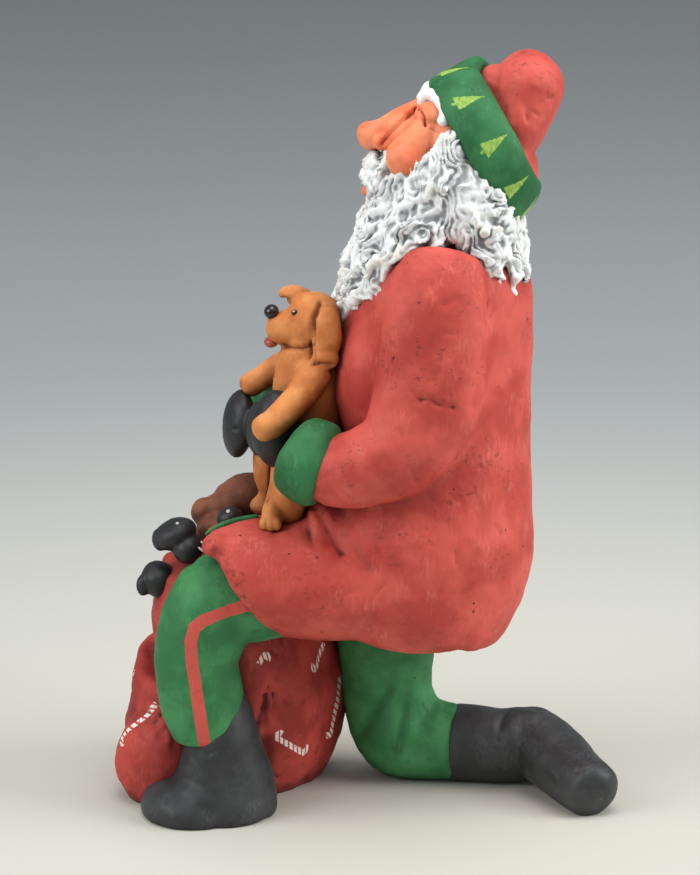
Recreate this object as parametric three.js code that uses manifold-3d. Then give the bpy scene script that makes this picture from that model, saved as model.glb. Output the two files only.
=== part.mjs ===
// A hand-modelled and painted clay Santa, kneeling on one knee with a golden puppy held on
// the lap and a toy sack of puppies between the legs. The figure faces -Y, its left side is
// +X, and it stands on z = 0. It was modelled and fired as one body, so it is one solid.
import * as THREE from "three";
import { mergeVertices } from "three/addons/utils/BufferGeometryUtils.js";
import Module from "manifold-3d";

const wasm = await Module();
wasm.setup();

// Driving sizes in mm
const HEIGHT = 254; // ground to the top of the hat
const COAT_BACK = 57; // how far the coat reaches behind the middle of the figure
const COAT_HALF_WIDTH = 37; // chest, without the arms
const SHOULDER_Z = 190;
const HEM_Z = 61;
const SLEEVE = 17; // half depth of the upper arm
const CUFF = 14;
const HEAD_HALF_WIDTH = 21;
const NOSE = 5.2; // radius of the nose bulb
const CHEEK = 7.8;
const BAND_RADIUS = 19.8; // hat band, middle of its thickness
const BAND_HALF_WIDTH = 7.6;
const BAND_HALF_THICKNESS = 3.8;
const LOCK_LENGTH = 15; // one modelled lock of the beard
const LOCK_RADIUS = 2.3;
const SHIN = 13.5;
const BOOT_HALF_WIDTH = 18;
const SACK_HALF_LENGTH = 38;
const SACK_HALF_WIDTH = 33;
const PAW = 4.8;
const GROUND_BLOCK = 600;
const FLAT_END = 0.2; // an end lower than this share of its radius has no dome

const THIGH_EDGE_RISE = 32; // slant of the coat's edge over the near thigh
const THIGH_EDGE_RUN = 23;
const BAND_TILT = THREE.MathUtils.degToRad(54); // hat tipped back

const SIDEWAYS = new THREE.Vector3(1, 0, 0);
const FORWARD = new THREE.Vector3(0, 1, 0);
const UPWARD = new THREE.Vector3(0, 0, 1);
const SLANTING = new THREE.Vector3(0.91, 0.42, 0); // the sack lies askew under the figure

// A closed solid from a list of corners and triangles.
function solidOf(corners, triangles) {
  return new wasm.Manifold(
    new wasm.Mesh({
      numProp: 3,
      vertProperties: new Float32Array(corners),
      triVerts: new Uint32Array(triangles),
    }),
  );
}

// A three.js primitive as a closed solid.
function closed(geometry) {
  geometry.deleteAttribute("normal");
  geometry.deleteAttribute("uv");
  const merged = mergeVertices(geometry, 1e-4);
  return solidOf(merged.attributes.position.array, merged.index.array);
}

// Skin over oval rings along a smooth spine. A station is [x, y, z, across, through]: a point
// of the spine, the half size along the side direction and the half size square to it.
function loft(stations, options = {}) {
  const { steps = 2, around = 12, side = SIDEWAYS, nose = 0.6, tail = 0.6, relief } = options;
  const spine = new THREE.CatmullRomCurve3(
    stations.map(([x, y, z]) => new THREE.Vector3(x, y, z)),
    false,
    "catmullrom",
    0.5,
  );
  const sizes = new THREE.CatmullRomCurve3(
    stations.map((s) => new THREE.Vector3(s[3], s[4], 0)),
    false,
    "catmullrom",
    0.5,
  );
  const count = (stations.length - 1) * steps;
  const rings = [];
  for (let i = 0; i <= count; i++) {
    const t = i / count;
    rings.push({
      t,
      at: spine.getPoint(t),
      ahead: spine.getTangent(t),
      size: sizes.getPoint(t),
    });
  }
  // An end that isn't nearly flat is rounded off by narrower rings.
  const first = rings[0];
  const last = rings[count];
  const dome = around > 12 ? [0.6, 1.15] : [0.85];
  const domed = [...rings];
  for (const angle of dome) {
    if (nose > FLAT_END) domed.unshift(domeRing(first, -nose, angle));
    if (tail > FLAT_END) domed.push(domeRing(last, tail, angle));
  }
  const corners = [];
  for (const ring of domed) {
    const across = side.clone().addScaledVector(ring.ahead, -side.dot(ring.ahead)).normalize();
    const through = ring.ahead.clone().cross(across);
    for (let j = 0; j < around; j++) {
      const angle = (2 * Math.PI * j) / around;
      const out = relief ? relief(angle, ring.t) : 0;
      const p = ring.at
        .clone()
        .addScaledVector(across, (ring.size.x + out) * Math.cos(angle))
        .addScaledVector(through, (ring.size.y + out) * Math.sin(angle));
      corners.push(p.x, p.y, p.z);
    }
  }
  const start = first.at.clone().addScaledVector(first.ahead, -nose * depth(first));
  const end = last.at.clone().addScaledVector(last.ahead, tail * depth(last));
  corners.push(start.x, start.y, start.z, end.x, end.y, end.z);
  const triangles = [];
  const startPole = domed.length * around;
  const endPole = startPole + 1;
  const top = (domed.length - 1) * around;
  for (let j = 0; j < around; j++) {
    const k = (j + 1) % around;
    triangles.push(startPole, k, j, endPole, top + j, top + k);
    for (let i = 0; i < top; i += around) {
      triangles.push(i + j, i + k, i + around + k);
      triangles.push(i + j, i + around + k, i + around + j);
    }
  }
  return solidOf(corners, triangles);
}

// The smaller of a ring's half sizes, which sets how deep its end dome is.
function depth(ring) {
  return Math.min(ring.size.x, ring.size.y);
}

// A ring of an end dome, at an angle up from the rim of the ring it grows from.
function domeRing(ring, reach, angle) {
  return {
    t: ring.t,
    at: ring.at.clone().addScaledVector(ring.ahead, reach * depth(ring) * Math.sin(angle)),
    ahead: ring.ahead,
    size: ring.size.clone().multiplyScalar(Math.cos(angle)),
  };
}

// An egg-shaped lump of clay, turned by degrees about x, y and z.
function lump([x, y, z], [rx, ry, rz], [tx, ty, tz] = [0, 0, 0], detail = 1) {
  const ball = new THREE.IcosahedronGeometry(1, detail);
  const turn = new THREE.Euler(
    THREE.MathUtils.degToRad(tx),
    THREE.MathUtils.degToRad(ty),
    THREE.MathUtils.degToRad(tz),
  );
  ball.scale(rx, ry, rz);
  ball.applyMatrix4(new THREE.Matrix4().makeRotationFromEuler(turn));
  ball.translate(x, y, z);
  return closed(ball);
}

function join(solids) {
  return wasm.Manifold.union(solids);
}

// The coat: trunk and skirt, the fold of cloth over the near thigh, the lap, and both sleeves.
function coat() {
  const trunkDepth = COAT_BACK - 25;
  const trunk = loft(
    [
      [1, 10, HEM_Z, COAT_HALF_WIDTH - 4, trunkDepth - 5],
      [1, 11, HEM_Z + 5, COAT_HALF_WIDTH, trunkDepth],
      [1, 15, HEM_Z + 15, COAT_HALF_WIDTH + 4, trunkDepth + 5],
      [1, 19, HEM_Z + 30, COAT_HALF_WIDTH + 4, trunkDepth + 6.5],
      [0, 22, 106, COAT_HALF_WIDTH + 2, trunkDepth + 3],
      [0, 24, 127, COAT_HALF_WIDTH, trunkDepth - 0.5],
      [0, 24, 150, COAT_HALF_WIDTH, trunkDepth - 1],
      [0, 24.5, 171, COAT_HALF_WIDTH, trunkDepth - 1.5],
      [0, 25, SHOULDER_Z - 5, COAT_HALF_WIDTH - 4, trunkDepth - 4],
      [0, 26, SHOULDER_Z + 4, COAT_HALF_WIDTH - 14, trunkDepth - 11],
    ],
    { steps: 1, around: 20, nose: 0.06, tail: 0.3 },
  );
  const thighCover = loft(
    [
      [15, 16, 81, 24, 20],
      [18, -10, 80, 23, 19.5],
      [20, -28, 83, 21.5, 18],
      [20, -44, 85.5, 19.5, 15.5],
      [20, -53, 90, 14, 9.5],
    ],
    { steps: 1, around: 16, tail: 0.4 },
  );
  const lap = lump([-3, -8, 83], [32, 28, 16.5], [0, 0, 0], 2);
  return join([trunk, hemmed(thighCover), lap, sleeve(1), sleeve(-1)]);
}

// The coat's slanting edge over the near thigh runs from above the knee back down to the hem.
function hemmed(cover) {
  const cutter = new THREE.BoxGeometry(120, 80, 200);
  cutter.translate(0, -40, 0);
  cutter.rotateX(Math.PI / 2 - Math.atan2(THIGH_EDGE_RISE, THIGH_EDGE_RUN));
  cutter.translate(0, -30, HEM_Z + 8);
  return cover.subtract(closed(cutter));
}

// One sleeve from the shoulder round the elbow to the wrist; hand = 1 is the near arm.
function sleeve(hand) {
  const near = [
    [26, 25, SHOULDER_Z - 1, 10, SLEEVE - 4],
    [32, 23, 177, 13, SLEEVE],
    [34, 22, 160, 13, SLEEVE + 0.5],
    [35, 19.5, 144, 13, SLEEVE + 0.5],
    [36, 12, 130, 13.5, SLEEVE - 1.5],
    [35, 0, 124, 12.5, SLEEVE - 3.8],
    [32, -10, 123.5, 11.5, SLEEVE - 5],
    [30, -16, 123.5, 10.5, SLEEVE - 6],
  ];
  const far = [
    [-26, 25, SHOULDER_Z - 1, 10, SLEEVE - 4],
    [-32, 23, 177, 13, SLEEVE],
    [-34, 21, 160, 13, SLEEVE],
    [-35, 17, 144, 13, SLEEVE],
    [-36, 8, 131, 13, SLEEVE - 2],
    [-33, -5, 127, 12, SLEEVE - 4],
    [-27, -18, 127, 11, SLEEVE - 5.5],
    [-23, -25, 128, 10, SLEEVE - 6.5],
  ];
  return loft(hand > 0 ? near : far, { steps: 1, around: 12, nose: 0.5 });
}

// Flaring cuffs, and the mittens that meet in front of the golden puppy's belly.
function hands() {
  const nearCuff = loft(
    [
      [31, -12, 123.5, CUFF - 2.5, CUFF - 2],
      [29.5, -16, 123.8, CUFF - 0.5, CUFF - 0.5],
      [27, -23, 124.5, CUFF - 0.5, CUFF],
      [25, -29, 125.5, CUFF - 0.5, CUFF + 0.5],
    ],
    { steps: 1, around: 12, nose: 0.05, tail: 0.12 },
  );
  const farCuff = loft(
    [
      [-25, -21, 128, CUFF - 2, CUFF - 2],
      [-22, -26, 128, CUFF - 0.5, CUFF - 0.5],
      [-16, -35, 128, CUFF - 0.5, CUFF],
    ],
    { steps: 1, around: 12, nose: 0.05, tail: 0.12 },
  );
  const nearMitten = lump([15, -31, 131], [9, 8, 13], [0, 0, 0]);
  const nearFingers = lump([8, -36, 129], [9, 5, 9], [0, 0, 8]);
  const farMitten = lump([-5, -43.5, 127.5], [10, 5.2, 11.6], [-8, 0, 12]);
  return join([nearCuff, farCuff, nearMitten, nearFingers, farMitten]);
}

// A head tipped back: skull, long nose, full cheeks, brows and lower lip.
function face() {
  const parts = [
    lump([0, 32, 222], [HEAD_HALF_WIDTH, 18, 22], [0, 0, 0], 2),
    loft(
      [
        [0, 22, 235, 4, 5],
        [0, 13, 231.5, NOSE - 1, NOSE - 0.4],
        [0, 7, 228, NOSE - 0.7, NOSE - 1],
        [0, 3.4, 226, NOSE, NOSE],
      ],
      { steps: 1, around: 10, tail: 0.95 },
    ),
    lump([0, 2, 207.5], [3.4, 2.2, 1.8], [0, 0, 0], 0),
  ];
  for (const hand of [1, -1]) {
    parts.push(lump([hand * 12, 13.5, 222], [CHEEK, CHEEK + 0.6, CHEEK - 0.2]));
    parts.push(lump([hand * 4, 6, 225], [3, 3.2, 3], [0, 0, 0], 0));
    parts.push(lump([hand * 10, 22.8, 236.5], [6, 3.6, 4.2], [20, 0, hand * 15], 1));
  }
  return join(parts);
}

// Clay locks pressed in waves: ridges that run down the beard and shift from side to side.
function ridges(count, deep) {
  return (angle, t) => {
    const wave = count * angle + 2.2 * Math.sin(9 * t + 3 * Math.sin(angle * 2));
    return deep * (Math.abs(Math.sin(wave / 2)) - 0.5) + 0.6 * deep * Math.sin(17 * t + 2 * wave);
  };
}

// The beard over the chest, the hair at the back, the sideburns and the moustache.
function hair() {
  const beard = loft(
    [
      [0, 29, 220, HEAD_HALF_WIDTH + 2, 16.5],
      [0, 26, 213, HEAD_HALF_WIDTH + 3.5, 19.5],
      [0, 22, 206, HEAD_HALF_WIDTH + 4, 19.5],
      [0, 16.5, 197, HEAD_HALF_WIDTH + 6, 17],
      [0, 9, 188, HEAD_HALF_WIDTH + 6, 14],
      [0, 2, 179, HEAD_HALF_WIDTH + 1, 9],
      [0, -3.8, 171.5, HEAD_HALF_WIDTH - 10, 4],
    ],
    { steps: 2, around: 26, relief: ridges(9, 1.6), tail: 0.9, nose: 0.1 },
  );
  const back = loft(
    [
      [0, 37, 222, HEAD_HALF_WIDTH + 1, 10],
      [0, 37, 210, HEAD_HALF_WIDTH + 4, 11],
      [0, 37.5, 198, HEAD_HALF_WIDTH + 5, 11],
      [0, 39.5, 187, HEAD_HALF_WIDTH + 3, 12.5],
    ],
    { steps: 1, around: 20, relief: ridges(8, 1.6), tail: 0.15, nose: 0.1 },
  );
  const parts = [beard, back];
  for (const hand of [1, -1]) {
    parts.push(
      loft(
        [
          [hand * 20.5, 28.5, 233, 2.5, 3],
          [hand * 21, 25, 225, 4, 6],
          [hand * 21, 23, 215, 5, 8],
        ],
        { steps: 1, around: 6 },
      ),
      loft(
        [
          [0, 3.5, 218.5, 2.4, 3],
          [hand * 6, 3.5, 215, 3.2, 3.4],
          [hand * 12, 7, 211.5, 3.6, 3.6],
          [hand * 18, 14, 211, 3.4, 3.4],
        ],
        { steps: 1, around: 6, side: FORWARD },
      ),
    );
  }
  return join([...parts, ...tips()]);
}

// The separate ends of locks along the lower edge of the beard and of the hair at the back.
function tips() {
  const made = [];
  const ends = [
    // x, y, z, lean forward
    [0, -7, 167.5, -1],
    [9, -5.5, 171, -1],
    [18, -1, 176, 0],
    [25.5, 7, 184, 1],
    [13, 49.5, 183, 3],
  ];
  for (const [x, y, z, lean] of ends)
    for (const hand of x ? [1, -1] : [1])
      made.push(
        loft(
          [
            [hand * x * 0.97, y + lean * 0.2, z + LOCK_LENGTH * 0.8, LOCK_RADIUS, LOCK_RADIUS],
            [hand * (x + 0.8), y - 0.4, z + LOCK_LENGTH * 0.4, LOCK_RADIUS * 1.25, LOCK_RADIUS],
            [hand * x, y + lean * 0.3, z, LOCK_RADIUS * 0.6, LOCK_RADIUS * 0.6],
          ],
          { steps: 1, around: 5, tail: 1, nose: 0.1 },
        ),
      );
  return made;
}

// The hat: a rolled band round the head, tipped back, and the soft crown behind it.
function hat() {
  const centre = new THREE.Vector3(0, 39.5, 226.5);
  const along = new THREE.Vector3(0, Math.cos(BAND_TILT), -Math.sin(BAND_TILT));
  const normal = new THREE.Vector3(0, Math.sin(BAND_TILT), Math.cos(BAND_TILT));
  const around = 20;
  const section = 6;
  const corners = [];
  const triangles = [];
  for (let i = 0; i < around; i++) {
    const turn = (2 * Math.PI * i) / around;
    const out = SIDEWAYS.clone().multiplyScalar(Math.cos(turn));
    out.addScaledVector(along, Math.sin(turn));
    const lift = Math.cos(turn) < 0 && Math.sin(turn) < 0 ? 3.5 * Math.sin(2 * turn) : 0;
    for (let j = 0; j < section; j++) {
      const angle = (2 * Math.PI * j) / section;
      const p = centre.clone().addScaledVector(out, BAND_RADIUS + BAND_HALF_THICKNESS * Math.cos(angle));
      p.addScaledVector(normal, lift + BAND_HALF_WIDTH * Math.sin(angle));
      corners.push(p.x, p.y, p.z);
      const a = i * section + j;
      const b = i * section + ((j + 1) % section);
      const c = ((i + 1) % around) * section + j;
      const d = ((i + 1) % around) * section + ((j + 1) % section);
      triangles.push(a, d, b, a, c, d);
    }
  }
  const band = solidOf(corners, triangles);
  const crown = loft(
    [
      [0, 43, 211, 11, 6],
      [0, 44.5, 221, 16.5, 9.5],
      [0, 48, 231, 17.5, 12.8],
      [0, 53, HEIGHT - 12, 15, 12],
    ],
    { steps: 1, around: 14, tail: 1 },
  );
  const lobe = lump([-3, 43, 242], [10, 6.5, 6]);
  const fill = lump([0, 41, 227], [HEAD_HALF_WIDTH - 2, 15, 18], [-36, 0, 0]);
  return join([band, crown, lobe, fill]);
}

// Near leg, bent with its boot flat on the ground.
function nearLeg() {
  const x = 22;
  const thigh = loft(
    [
      [15, 4, 76, 16, 16],
      [19, -20, 75, 16, 16.5],
      [x - 1.5, -40, 75, 15, 16.5],
      [x - 1, -48, 75, 14.5, 15.5],
    ],
    { steps: 1, around: 12, tail: 0.9 },
  );
  const shin = loft(
    [
      [x, -49, 78, SHIN + 1, SHIN],
      [x, -53, 66, SHIN + 1.2, SHIN + 1.3],
      [x, -56, 54, SHIN, SHIN + 0.3],
      [x, -55.5, 42, SHIN, SHIN],
      [x, -53, 32, SHIN - 0.5, SHIN - 1.5],
      [x, -51.5, 24, SHIN - 2, SHIN - 3],
    ],
    { steps: 1, around: 12, tail: 0.1 },
  );
  const boot = loft(
    [
      [x, -48.5, 38, SHIN - 2, 8],
      [x, -49.5, 32, SHIN - 0.5, SHIN - 1.5],
      [x, -49, 22, SHIN + 0.5, SHIN + 0.5],
      [x, -49, 13, BOOT_HALF_WIDTH - 2, SHIN + 4.5],
      [x, -52, 5, BOOT_HALF_WIDTH, 21.5],
      [x, -52, -1.5, BOOT_HALF_WIDTH - 1.5, 20],
    ],
    { steps: 1, around: 14, nose: 0.1, tail: 0 },
  );
  return join([thigh, shin, boot]);
}

// Far leg, kneeling: thigh down to the ground, shin back along it, and the foot turned in.
function farLeg() {
  const x = -14;
  const trousers = loft(
    [
      [x, 9, 66, SHIN + 3, SHIN + 3],
      [x, 8, 46, SHIN + 2, SHIN + 2.2],
      [x + 0.5, 8.5, 30, SHIN + 1.5, SHIN + 1.3],
      [x + 1.5, 13, 16.5, SHIN + 1.5, SHIN + 2.5],
      [x + 3, 24, 12.5, SHIN, SHIN - 0.3],
      [x + 4, 34, 12.5, SHIN - 0.5, SHIN - 0.5],
      [x + 5, 41, 12.5, SHIN - 2.5, SHIN - 2.5],
    ],
    { steps: 1, around: 12 },
  );
  const shaft = loft(
    [
      [x + 4.5, 37.5, 12.5, SHIN, SHIN + 0.3],
      [x + 6, 46, 12.5, SHIN, SHIN + 0.3],
      [x + 8, 55, 14, SHIN - 1, SHIN],
      [x + 11, 61, 15, SHIN - 3, SHIN - 2],
    ],
    { steps: 1, around: 12, nose: 0.08 },
  );
  const foot = loft(
    [
      [x + 4, 57, 15.5, 10, 11],
      [x + 13, 62, 13, 11, 12],
      [x + 26, 69, 10, 10.5, 11.5],
      [x + 39, 76.5, 8, 9.5, 10],
    ],
    { steps: 1, around: 12, side: UPWARD },
  );
  return join([trousers, shaft, foot]);
}

// The toy sack that bulges out round the near boot and slumps under the coat.
function sack() {
  const folds = (angle, t) =>
    1.3 * Math.sin(5 * angle + 2.5 * t) * t + 0.9 * Math.sin(9 * angle - 4 * t) * (1 - t);
  return loft(
    [
      [-10, -50, -2, SACK_HALF_WIDTH - 9, SACK_HALF_LENGTH - 5],
      [-11, -48, 8, SACK_HALF_WIDTH - 4, SACK_HALF_LENGTH + 1],
      [-12, -44, 24, SACK_HALF_WIDTH - 3, SACK_HALF_LENGTH + 1],
      [-12, -44, 40, SACK_HALF_WIDTH - 3, SACK_HALF_LENGTH - 0.5],
      [-9, -46, 52, SACK_HALF_WIDTH - 5, SACK_HALF_LENGTH - 6.5],
      [-5, -51, 65, SACK_HALF_WIDTH - 9, SACK_HALF_LENGTH - 15],
      [-3, -54, 80, SACK_HALF_WIDTH - 14, SACK_HALF_LENGTH - 23],
    ],
    { steps: 2, around: 18, side: SLANTING, nose: 0, tail: 0.1, relief: folds },
  );
}

// The black puppy whose head, ear and paw hang over the rim of the sack, the brown one
// behind it, and a third nose between them.
function sackPuppies() {
  const parts = [
    lump([-2, -61, 88.5], [8.5, 8.5, 6], [8, 0, 0]),
    lump([2, -67, 86.5], [5, 4.8, 7], [-32, 0, 0]),
    lump([4, -58.5, 84], [6.5, 6.3, 6]),
    lump([0, -70, 73.5], [7, 6, 6.8], [25, 0, 0]),
    lump([0, -64, 78], [6.5, 7, 5], [20, 0, 0], 1),
    lump([3, -43, 96], [6, 4.2, 3.6]),
  ];
  parts.push(
    loft(
      [
        [-16, -55.5, 90, 5.5, 4],
        [-18, -49.5, 94.5, 8, 5.5],
        [-18, -42, 97, 9, 7.5],
        [-18, -34, 97.5, 9, 8],
      ],
      { steps: 1, around: 10, nose: 0.8 },
    ),
    lump([-12, -49, 85.5], [9, 9, 10]),
  );
  return join(parts);
}

// The golden puppy sitting up on the lap between the mittens.
function goldenPuppy() {
  const parts = [
    loft(
      [
        [5, -17, 103, 10, 8],
        [5, -17, 112, 12.5, 11],
        [5, -18, 127, 11.5, 11.5],
        [6, -18.5, 141, 10, 10.8],
        [6, -18.5, 151, 8.8, 9.5],
        [6, -18, 159, 7.5, 7.5],
      ],
      { steps: 1, around: 12 },
    ),
    lump([6, -17.5, 165.5], [10.5, 9.8, 9.4]),
    loft(
      [
        [6, -19, 164, 7.5, 7.5],
        [6, -26, 163.5, 6, 5.8],
        [6, -30, 164, 4.6, 4.4],
      ],
      { steps: 1, around: 10, tail: 0.7 },
    ),
    lump([6, -32, 168.3], [3, 2.4, 2.4], [0, 0, 0], 0),
    lump([6, -30, 159.8], [3, 2, 1.6], [0, 0, 0], 0),
    lump([16.3, -12.3, 163], [2.6, 4.9, 9.8], [-8, 0, 0], 1),
    lump([-3, -22.5, 171.5], [5, 4.6, 2.8], [-15, 0, 0], 1),
    lump([14, -17, 112], [7, 9, 10.5]),
  ];
  const limbs = [
    [[14, -16, 151, 5.5], [18, -22, 143, 4.9], [19, -29, 135, 4.4], [17.5, -33, 131.5, PAW]],
    [[-2, -22, 146, 5], [-5, -30, 142.5, 4.4], [-5.5, -37.5, 141, PAW - 0.4]],
    [[14, -22, 108, 6.5], [15.5, -27, 103, 5.4], [16, -32, 101, PAW - 0.2]],
    [[-1, -24, 110, 6], [-2, -30, 103.5, 5.2], [-2, -34.5, 99.5, PAW - 0.2]],
  ];
  for (const limb of limbs)
    parts.push(
      loft(
        limb.map(([x, y, z, r]) => [x, y, z, r, r]),
        { steps: 1, around: 6, tail: 0.9, nose: 0.1 },
      ),
    );
  return join(parts);
}

// Everything joined, levelled off where it stands on the ground, and centred over the origin.
function figure() {
  const whole = join([
    coat(),
    hands(),
    face(),
    hair(),
    hat(),
    nearLeg(),
    farLeg(),
    sack(),
    sackPuppies(),
    goldenPuppy(),
  ]);
  const ground = new THREE.BoxGeometry(GROUND_BLOCK, GROUND_BLOCK, GROUND_BLOCK);
  ground.translate(0, 0, -GROUND_BLOCK / 2);
  const stood = whole.subtract(closed(ground));
  const { min, max } = stood.boundingBox();
  return stood.translate(-(min[0] + max[0]) / 2, -(min[1] + max[1]) / 2, 0);
}

const mesh = figure().getMesh();
const geometry = new THREE.BufferGeometry();
geometry.setAttribute("position", new THREE.BufferAttribute(new Float32Array(mesh.vertProperties), 3));
geometry.setIndex(new THREE.BufferAttribute(mesh.triVerts, 1));
const figurine = new THREE.Mesh(geometry, new THREE.MeshStandardMaterial({ color: 0xb5473f }));
figurine.name = "santa_figurine";

const root = new THREE.Group();
root.add(figurine);
export default root;
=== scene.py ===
import itertools
import math

import bmesh
import bpy
import numpy as np
from mathutils import Matrix, Vector


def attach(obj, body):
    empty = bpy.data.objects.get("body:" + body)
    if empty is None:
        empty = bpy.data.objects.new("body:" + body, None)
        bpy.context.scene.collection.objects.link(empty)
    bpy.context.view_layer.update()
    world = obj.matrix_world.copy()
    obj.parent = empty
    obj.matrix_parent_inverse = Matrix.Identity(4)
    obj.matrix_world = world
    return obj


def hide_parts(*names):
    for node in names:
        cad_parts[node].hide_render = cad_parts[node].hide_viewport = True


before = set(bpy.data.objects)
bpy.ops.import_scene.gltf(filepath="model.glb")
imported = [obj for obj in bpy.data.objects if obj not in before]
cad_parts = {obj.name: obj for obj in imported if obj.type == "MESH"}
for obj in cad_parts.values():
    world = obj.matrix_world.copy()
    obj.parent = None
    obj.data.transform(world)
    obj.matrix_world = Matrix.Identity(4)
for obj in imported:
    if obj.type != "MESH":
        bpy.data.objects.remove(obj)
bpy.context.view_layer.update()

NODE = "santa_figurine"
MM = 0.001
CENTRED = np.array([-0.27, -0.47, 0.0])  # the solid was moved by this, in mm, to stand over the origin
GRAIN = 1.0

# Driving sizes in mm, as in the solid
HEIGHT = 254
SHOULDER_Z = 190
HEM_Z = 60
COAT_HALF_WIDTH = 37
TRUNK_DEPTH = 32
SLEEVE = 17
CUFF = 14
HEAD_HALF_WIDTH = 21
NOSE = 5.2
CHEEK = 8.4
BAND_CENTRE = np.array([0, 39, 223.9])
BAND_RADIUS = 20.5
BAND_LENGTHENING = 2.3
BAND_HALF_WIDTH = 8.4
BAND_HALF_THICKNESS = 3.8
BAND_TAPER = 2.2
BAND_LIFT = 2.6
BAND_TILT = math.radians(57.5)
SHIN = 13.5
BOOT_HALF_WIDTH = 18
NEAR_LEG_X = 22
FAR_LEG_X = -14
SACK_MIDDLE = (-12, -46)
SACK_RADIUS = 33
SACK_HALF_LENGTH = 38
PAW = 4.8

SIDEWAYS = np.array([1.0, 0.0, 0.0])
FORWARD = np.array([0.0, 1.0, 0.0])
UPWARD = np.array([0.0, 0.0, 1.0])
SLANTING = np.array([0.91, 0.42, 0.0]) / math.hypot(0.91, 0.42)
FROM_THE_SIDE = np.array([0.966, 0.0, 0.259])
BAND_ALONG = np.array([0, math.cos(BAND_TILT), -math.sin(BAND_TILT)])
BAND_NORMAL = np.array([0, math.sin(BAND_TILT), math.cos(BAND_TILT)])
SIDES = (1, -1)  # near and far


# Curves and closed shells


def spline(points, t):
    """Places and unit directions at t, counted in points, on a smooth curve through the points."""
    padded = np.vstack([2 * points[0] - points[1], points, 2 * points[-1] - points[-2]])
    i = np.clip(t.astype(int), 0, len(points) - 2)
    w = (t - i)[:, None]
    a, b, c, d = (padded[i + k] for k in range(4))
    slope = c - a
    bend = 2 * a - 5 * b + 4 * c - d
    twist = 3 * b - a - 3 * c + d
    place = 0.5 * (2 * b + slope * w + bend * w**2 + twist * w**3)
    ahead = slope + 2 * bend * w + 3 * twist * w**2
    return place, ahead / np.linalg.norm(ahead, axis=1, keepdims=True)


def skin(stations, side=SIDEWAYS):
    """A function that gives points on an oval skin over a spine; a station is x, y, z, across, through."""
    s = np.array(stations, float)

    def point(t, turn, shrink=1.0, slide=0.0, lift=0.0):
        place, ahead = spline(s[:, :3], t)
        size = spline(s[:, 3:], t)[0]
        across = side - ahead * (ahead @ side)[:, None]
        across /= np.linalg.norm(across, axis=1, keepdims=True)
        through = np.cross(ahead, across)
        depth = size.min(axis=1)
        wide = (size[:, 0] * shrink + lift) * np.cos(turn)
        deep = (size[:, 1] * shrink + lift) * np.sin(turn)
        moved = place + ahead * (slide * depth)[:, None]
        return moved + across * wide[:, None] + through * deep[:, None]

    return point


def grid_shell(rows, around, points, start, end):
    """A closed shell of rings of points with a pole at each end, facing out."""
    i = np.arange(rows - 1)[:, None] * around
    j = np.arange(around)[None, :]
    k = (j + 1) % around
    quads = np.stack([i + j, i + k, i + around + k, i + around + j], axis=-1).reshape(-1, 4)
    pole = rows * around
    last = pole - around
    fans = [(pole, (n + 1) % around, n) for n in range(around)]
    fans += [(pole + 1, last + n, last + (n + 1) % around) for n in range(around)]
    return np.vstack([points, start, end]), quads.tolist() + fans


def loft(stations, nose=0.6, tail=0.6, side=SIDEWAYS, relief=None, steps=6, around=48):
    """A closed shell over stations, with rounded ends; nose and tail say how far the ends bulge."""
    last = len(stations) - 1
    bulge = np.radians([15, 30, 45, 60, 75, 85])
    dome = len(bulge)
    t = np.concatenate([np.zeros(dome), np.linspace(0, last, last * steps + 1), np.full(dome, last)])
    body = np.ones(last * steps + 1)
    shrink = np.concatenate([np.cos(bulge[::-1]), body, np.cos(bulge)])
    slide = np.concatenate([-nose * np.sin(bulge[::-1]), 0 * body, tail * np.sin(bulge)])
    turn = np.tile(np.arange(around) * 2 * math.pi / around, len(t))
    t, shrink, slide = (np.repeat(v, around) for v in (t, shrink, slide))
    lift = relief(turn, t / last) * shrink if relief else 0.0
    point = skin(stations, side)
    points = point(t, turn, shrink, slide, lift)
    ends = point(np.array([0.0, last]), np.zeros(2), 0.0, np.array([-nose, tail]))
    return grid_shell(len(t) // around, around, points, ends[0], ends[1])


def lump(centre, radii, turned=(0, 0, 0), rings=22, around=32):
    """An egg-shaped lump of clay, turned by degrees about x, y and z."""
    level = np.repeat(np.linspace(-1, 1, rings + 2)[1:-1] * math.pi / 2, around)
    turn = np.tile(np.arange(around) * 2 * math.pi / around, rings)
    ball = [np.cos(level) * np.cos(turn), np.cos(level) * np.sin(turn), np.sin(level)]
    points = np.vstack([np.stack(ball, axis=1), [0, 0, -1], [0, 0, 1]]) * radii
    spin = Matrix.Identity(3)
    for degrees, axis in zip(turned, "XYZ"):
        spin = spin @ Matrix.Rotation(math.radians(degrees), 3, axis)
    points = points @ np.array(spin).T + centre
    return grid_shell(rings, around, points[:-2], points[-2], points[-1])


def limb(path, around=20, side=SIDEWAYS, nose=0.1, tail=0.9):
    """A round limb along x, y, z, radius."""
    return loft([(*p, p[3]) for p in path], nose, tail, side, around=around)


def mirrored(path, hand):
    """The same path on the near (1) or the far (-1) side."""
    return [(p[0] * hand, *p[1:]) for p in path]


def cut_by(shell, point, normal):
    """The shell without what lies beyond a plane, closed again."""
    mesh = bmesh.new()
    corners = [mesh.verts.new(p) for p in shell[0]]
    for face in shell[1]:
        mesh.faces.new([corners[n] for n in face])
    everything = mesh.verts[:] + mesh.edges[:] + mesh.faces[:]
    cut = bmesh.ops.bisect_plane(mesh, geom=everything, plane_co=point, plane_no=normal, clear_outer=True)
    rim = [e for e in cut["geom_cut"] if isinstance(e, bmesh.types.BMEdge)]
    bmesh.ops.edgeloop_fill(mesh, edges=rim)
    bmesh.ops.triangulate(mesh, faces=mesh.faces[:])
    mesh.verts.index_update()
    points = np.array([v.co for v in mesh.verts])
    faces = [[v.index for v in f.verts] for f in mesh.faces]
    mesh.free()
    return points, faces


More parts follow.
